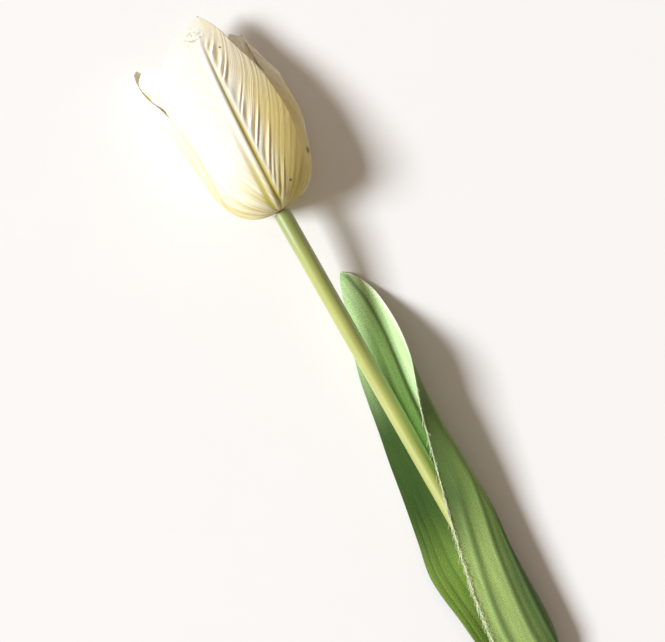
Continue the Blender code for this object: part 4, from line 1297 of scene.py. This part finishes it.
class TULIP_OT_petals(bpy.types.Operator):
    """Build the six pressed cloth petals"""
    bl_idname = "tulip.petals"
    bl_label = "Petals"

    def execute(self, context):
        settings = context.scene.tulip_petals
        material = pressed_taffeta(settings)
        for index, petal in enumerate(PETALS):
            make_petal(petal, settings, material, 10 * index + PETAL_SEED)
        return {"FINISHED"}


class TULIP_OT_leaf(bpy.types.Operator):
    """Build the folded leaf of woven cloth"""
    bl_idname = "tulip.leaf"
    bl_label = "Leaf"

    def execute(self, context):
        settings = context.scene.tulip_leaf
        # The inside gets a painted sheen on the rim at its tip, and the outside painted shade on the flap's
        # wall that faces away from the window
        inner = woven_polyester(
            "woven_polyester_inside", settings, settings.tip_colour, settings.inner_colour,
            settings.inner_light_colour, tip_reach=0.38, tip_rim_sheen=0.75)
        outer = woven_polyester(
            "woven_polyester_outside", settings, settings.outer_colour, settings.outer_colour,
            settings.outer_light_colour, side_shade=0.9, margin_shade=0.6)
        points, numbers, layout, (width, length, area) = leaf_grid(settings)
        mesh = sheet_mesh("leaf_blade", [points], {key: [numbers[key]] for key in numbers}, [layout])
        thing = add_object("leaf_blade", mesh, outer, inner)
        thicken(thing, settings.thickness, back_material=1)
        hand_over(thing, "leaf_cloth", "leaf")

        rim = points[:, -1]
        outward = rim - points[:, -1 - OUTWARD_COLUMNS]
        outward /= np.maximum(np.linalg.norm(outward, axis=1), 1e-9)[:, None]
        back = (BLOOM_FOOT.y - rim[:, 1]) / MM
        fray = smooth_step(*FRAYED_FROM, back) * (1 - smooth_step(*FRAYED_TO, back))
        kept = fray > LEAST_FRAY
        strength = fray * np.interp(back, *zip(*FRAY_STRENGTH))
        edge = line_mesh("leaf_cut_edge", rim[kept], fray=strength[kept], outward=outward[kept])
        yarn = grown(
            "leaf_frayed_edge", edge, frayed_edge_tree(), Strands=settings.strands, Spacing=YARN_SPACING,
            Thickness=settings.yarn_radius, Stray=settings.stray, EndLength=settings.end_length,
            Seed=YARN_SEED, Material=frayed_yarn(settings))
        hand_over(yarn, "leaf_cloth")
        return {"FINISHED"}


class TULIP_OT_stem(bpy.types.Operator):
    """Build the moulded stem"""
    bl_idname = "tulip.stem"
    bl_label = "Stem"

    def execute(self, context):
        settings = context.scene.tulip_stem
        points, radius = stem_line(settings)
        line = line_mesh("stem_line", points, radius=radius)
        stem = grown(
            "stem_rod", line, rod_tree(), Sides=STEM_SIDES, Seam=settings.seam / settings.radius,
            Material=moulded_polythene("moulded_polythene", settings))
        stem.data.set_sharp_from_angle(angle=SHARP_FOLD)
        hand_over(stem, "stem_plastic", "stem")
        return {"FINISHED"}


class TULIP_OT_pistil(bpy.types.Operator):
    """Build the pistil with its three lobes"""
    bl_idname = "tulip.pistil"
    bl_label = "Pistil"

    def execute(self, context):
        settings = context.scene.tulip_stem
        material = speckled_polythene(
            "moulded_polythene_pistil", settings.pistil_colour, settings.stem_shade, grain_size=0.9 * MM)
        mesh = turned_mesh("pistil_body", PISTIL_PROFILE, PISTIL_SIDES, pistil_radius)
        pistil = add_object("pistil_body", mesh, material)
        hand_over(pistil, "pistil_plastic", "pistil")
        return {"FINISHED"}


class TULIP_OT_stamens(bpy.types.Operator):
    """Build the ring of stamens"""
    bl_idname = "tulip.stamens"
    bl_label = "Stamens"

    def execute(self, context):
        settings = context.scene.tulip_stem
        material = speckled_polythene(
            "dusted_polythene", settings.stamen_colour, settings.stamen_shade, grain_size=0.4 * MM)
        around = grown(
            "stamen_filaments", stamen_mesh(), ring_of_stamens_tree(), Count=STAMEN_COUNT,
            Reach=FILAMENT_FOOT * MM, Foot=FILAMENT_FOOT_HEIGHT * MM, Lean=FILAMENT_LEAN,
            Unevenness=STAMEN_UNEVENNESS, Seed=STAMEN_SEED, Material=material)
        around.data.transform(bloom_matrix())
        ring = add_object("stamen_ring", turned_mesh("stamen_ring", RING_PROFILE, RING_SIDES), material)
        hand_over(ring, "stamen_plastic", "stamens")
        hand_over(around, "stamen_plastic", "stamens")
        return {"FINISHED"}


class TULIP_OT_stage(bpy.types.Operator):
    """Lay the board, hang the light and set up the camera over the flower"""
    bl_idname = "tulip.stage"
    bl_label = "Stage"

    def execute(self, context):
        settings = context.scene.tulip_stage
        scene = context.scene
        sideways = Vector((math.cos(CAMERA_TURN), -math.sin(CAMERA_TURN), 0.0))
        upwards = Vector((math.sin(CAMERA_TURN), math.cos(CAMERA_TURN), 0.0))
        over = BLOOM_FOOT + Vector((*CAMERA_OVER, 0.0))
        camera = bpy.data.objects.new("camera", bpy.data.cameras.new("camera"))
        camera.data.sensor_width = SENSOR
        camera.data.lens = SENSOR * CAMERA_HEIGHT / (PHOTO_WIDTH * PIXEL)
        camera.data.clip_start = CLIP_START
        camera.location = over + Vector((0.0, 0.0, CAMERA_HEIGHT))
        camera.rotation_euler = (0.0, 0.0, -CAMERA_TURN)
        scene.collection.objects.link(camera)
        scene.camera = camera

        board = bpy.data.meshes.new("board")
        corners = [(x * BOARD_REACH, y * BOARD_REACH, 0.0) for x, y in ((-1, -1), (1, -1), (1, 1), (-1, 1))]
        board.from_pydata(corners, [], [(0, 1, 2, 3)])
        floor = add_object("board", board, matt_board(settings))

        window = bpy.data.objects.new("window", bpy.data.lights.new("window", "AREA"))
        window.data.shape = "SQUARE"
        window.data.size = settings.window_size
        window.data.energy = settings.window_power
        window.data.color = linear(WINDOW_COLOUR)[:3]
        towards = WINDOW_RIGHT * sideways + WINDOW_UP * upwards + Vector((0.0, 0.0, 1.0))
        towards.normalize()
        window.location = over + towards * WINDOW_DISTANCE
        window.rotation_euler = towards.to_track_quat("Z", "Y").to_euler()
        scene.collection.objects.link(window)

        world = bpy.data.worlds.new("room")
        world.use_nodes = True
        background = world.node_tree.nodes["Background"]
        background.inputs["Color"].default_value = linear(ROOM_COLOUR)
        background.inputs["Strength"].default_value = settings.room_strength
        scene.world = world
        scene.view_settings.view_transform = "Standard"
        return {"FINISHED"}


class TULIP_PT_panel(bpy.types.Panel):
    """Sidebar panel with the flower's pieces"""
    bl_idname = "TULIP_PT_panel"
    bl_label = "Cloth Tulip"
    bl_space_type = "VIEW_3D"
    bl_region_type = "UI"
    bl_category = "Tulip"

    def draw(self, context):
        for operator in OPERATORS:
            self.layout.operator(operator.bl_idname)


GROUPS = {
    "tulip_petals": TulipPetalSettings,
    "tulip_leaf": TulipLeafSettings,
    "tulip_stem": TulipStemSettings,
    "tulip_stage": TulipStageSettings,
}
OPERATORS = (
    TULIP_OT_petals, TULIP_OT_leaf, TULIP_OT_stem, TULIP_OT_pistil, TULIP_OT_stamens, TULIP_OT_stage,
)


def register():
    """Add the classes and the scene's settings."""
    for thing in (*GROUPS.values(), *OPERATORS, TULIP_PT_panel):
        bpy.utils.register_class(thing)
    for name, group in GROUPS.items():
        setattr(bpy.types.Scene, name, bpy.props.PointerProperty(type=group))


def unregister():
    """Take away the scene's settings and the classes."""
    for name in GROUPS:
        delattr(bpy.types.Scene, name)
    for thing in reversed((*GROUPS.values(), *OPERATORS, TULIP_PT_panel)):
        bpy.utils.unregister_class(thing)


def main():
    """Build every piece."""
    register()
    for operator in OPERATORS:
        group, name = operator.bl_idname.split(".")
        getattr(getattr(bpy.ops, group), name)()


if __name__ == "__main__":
    main()
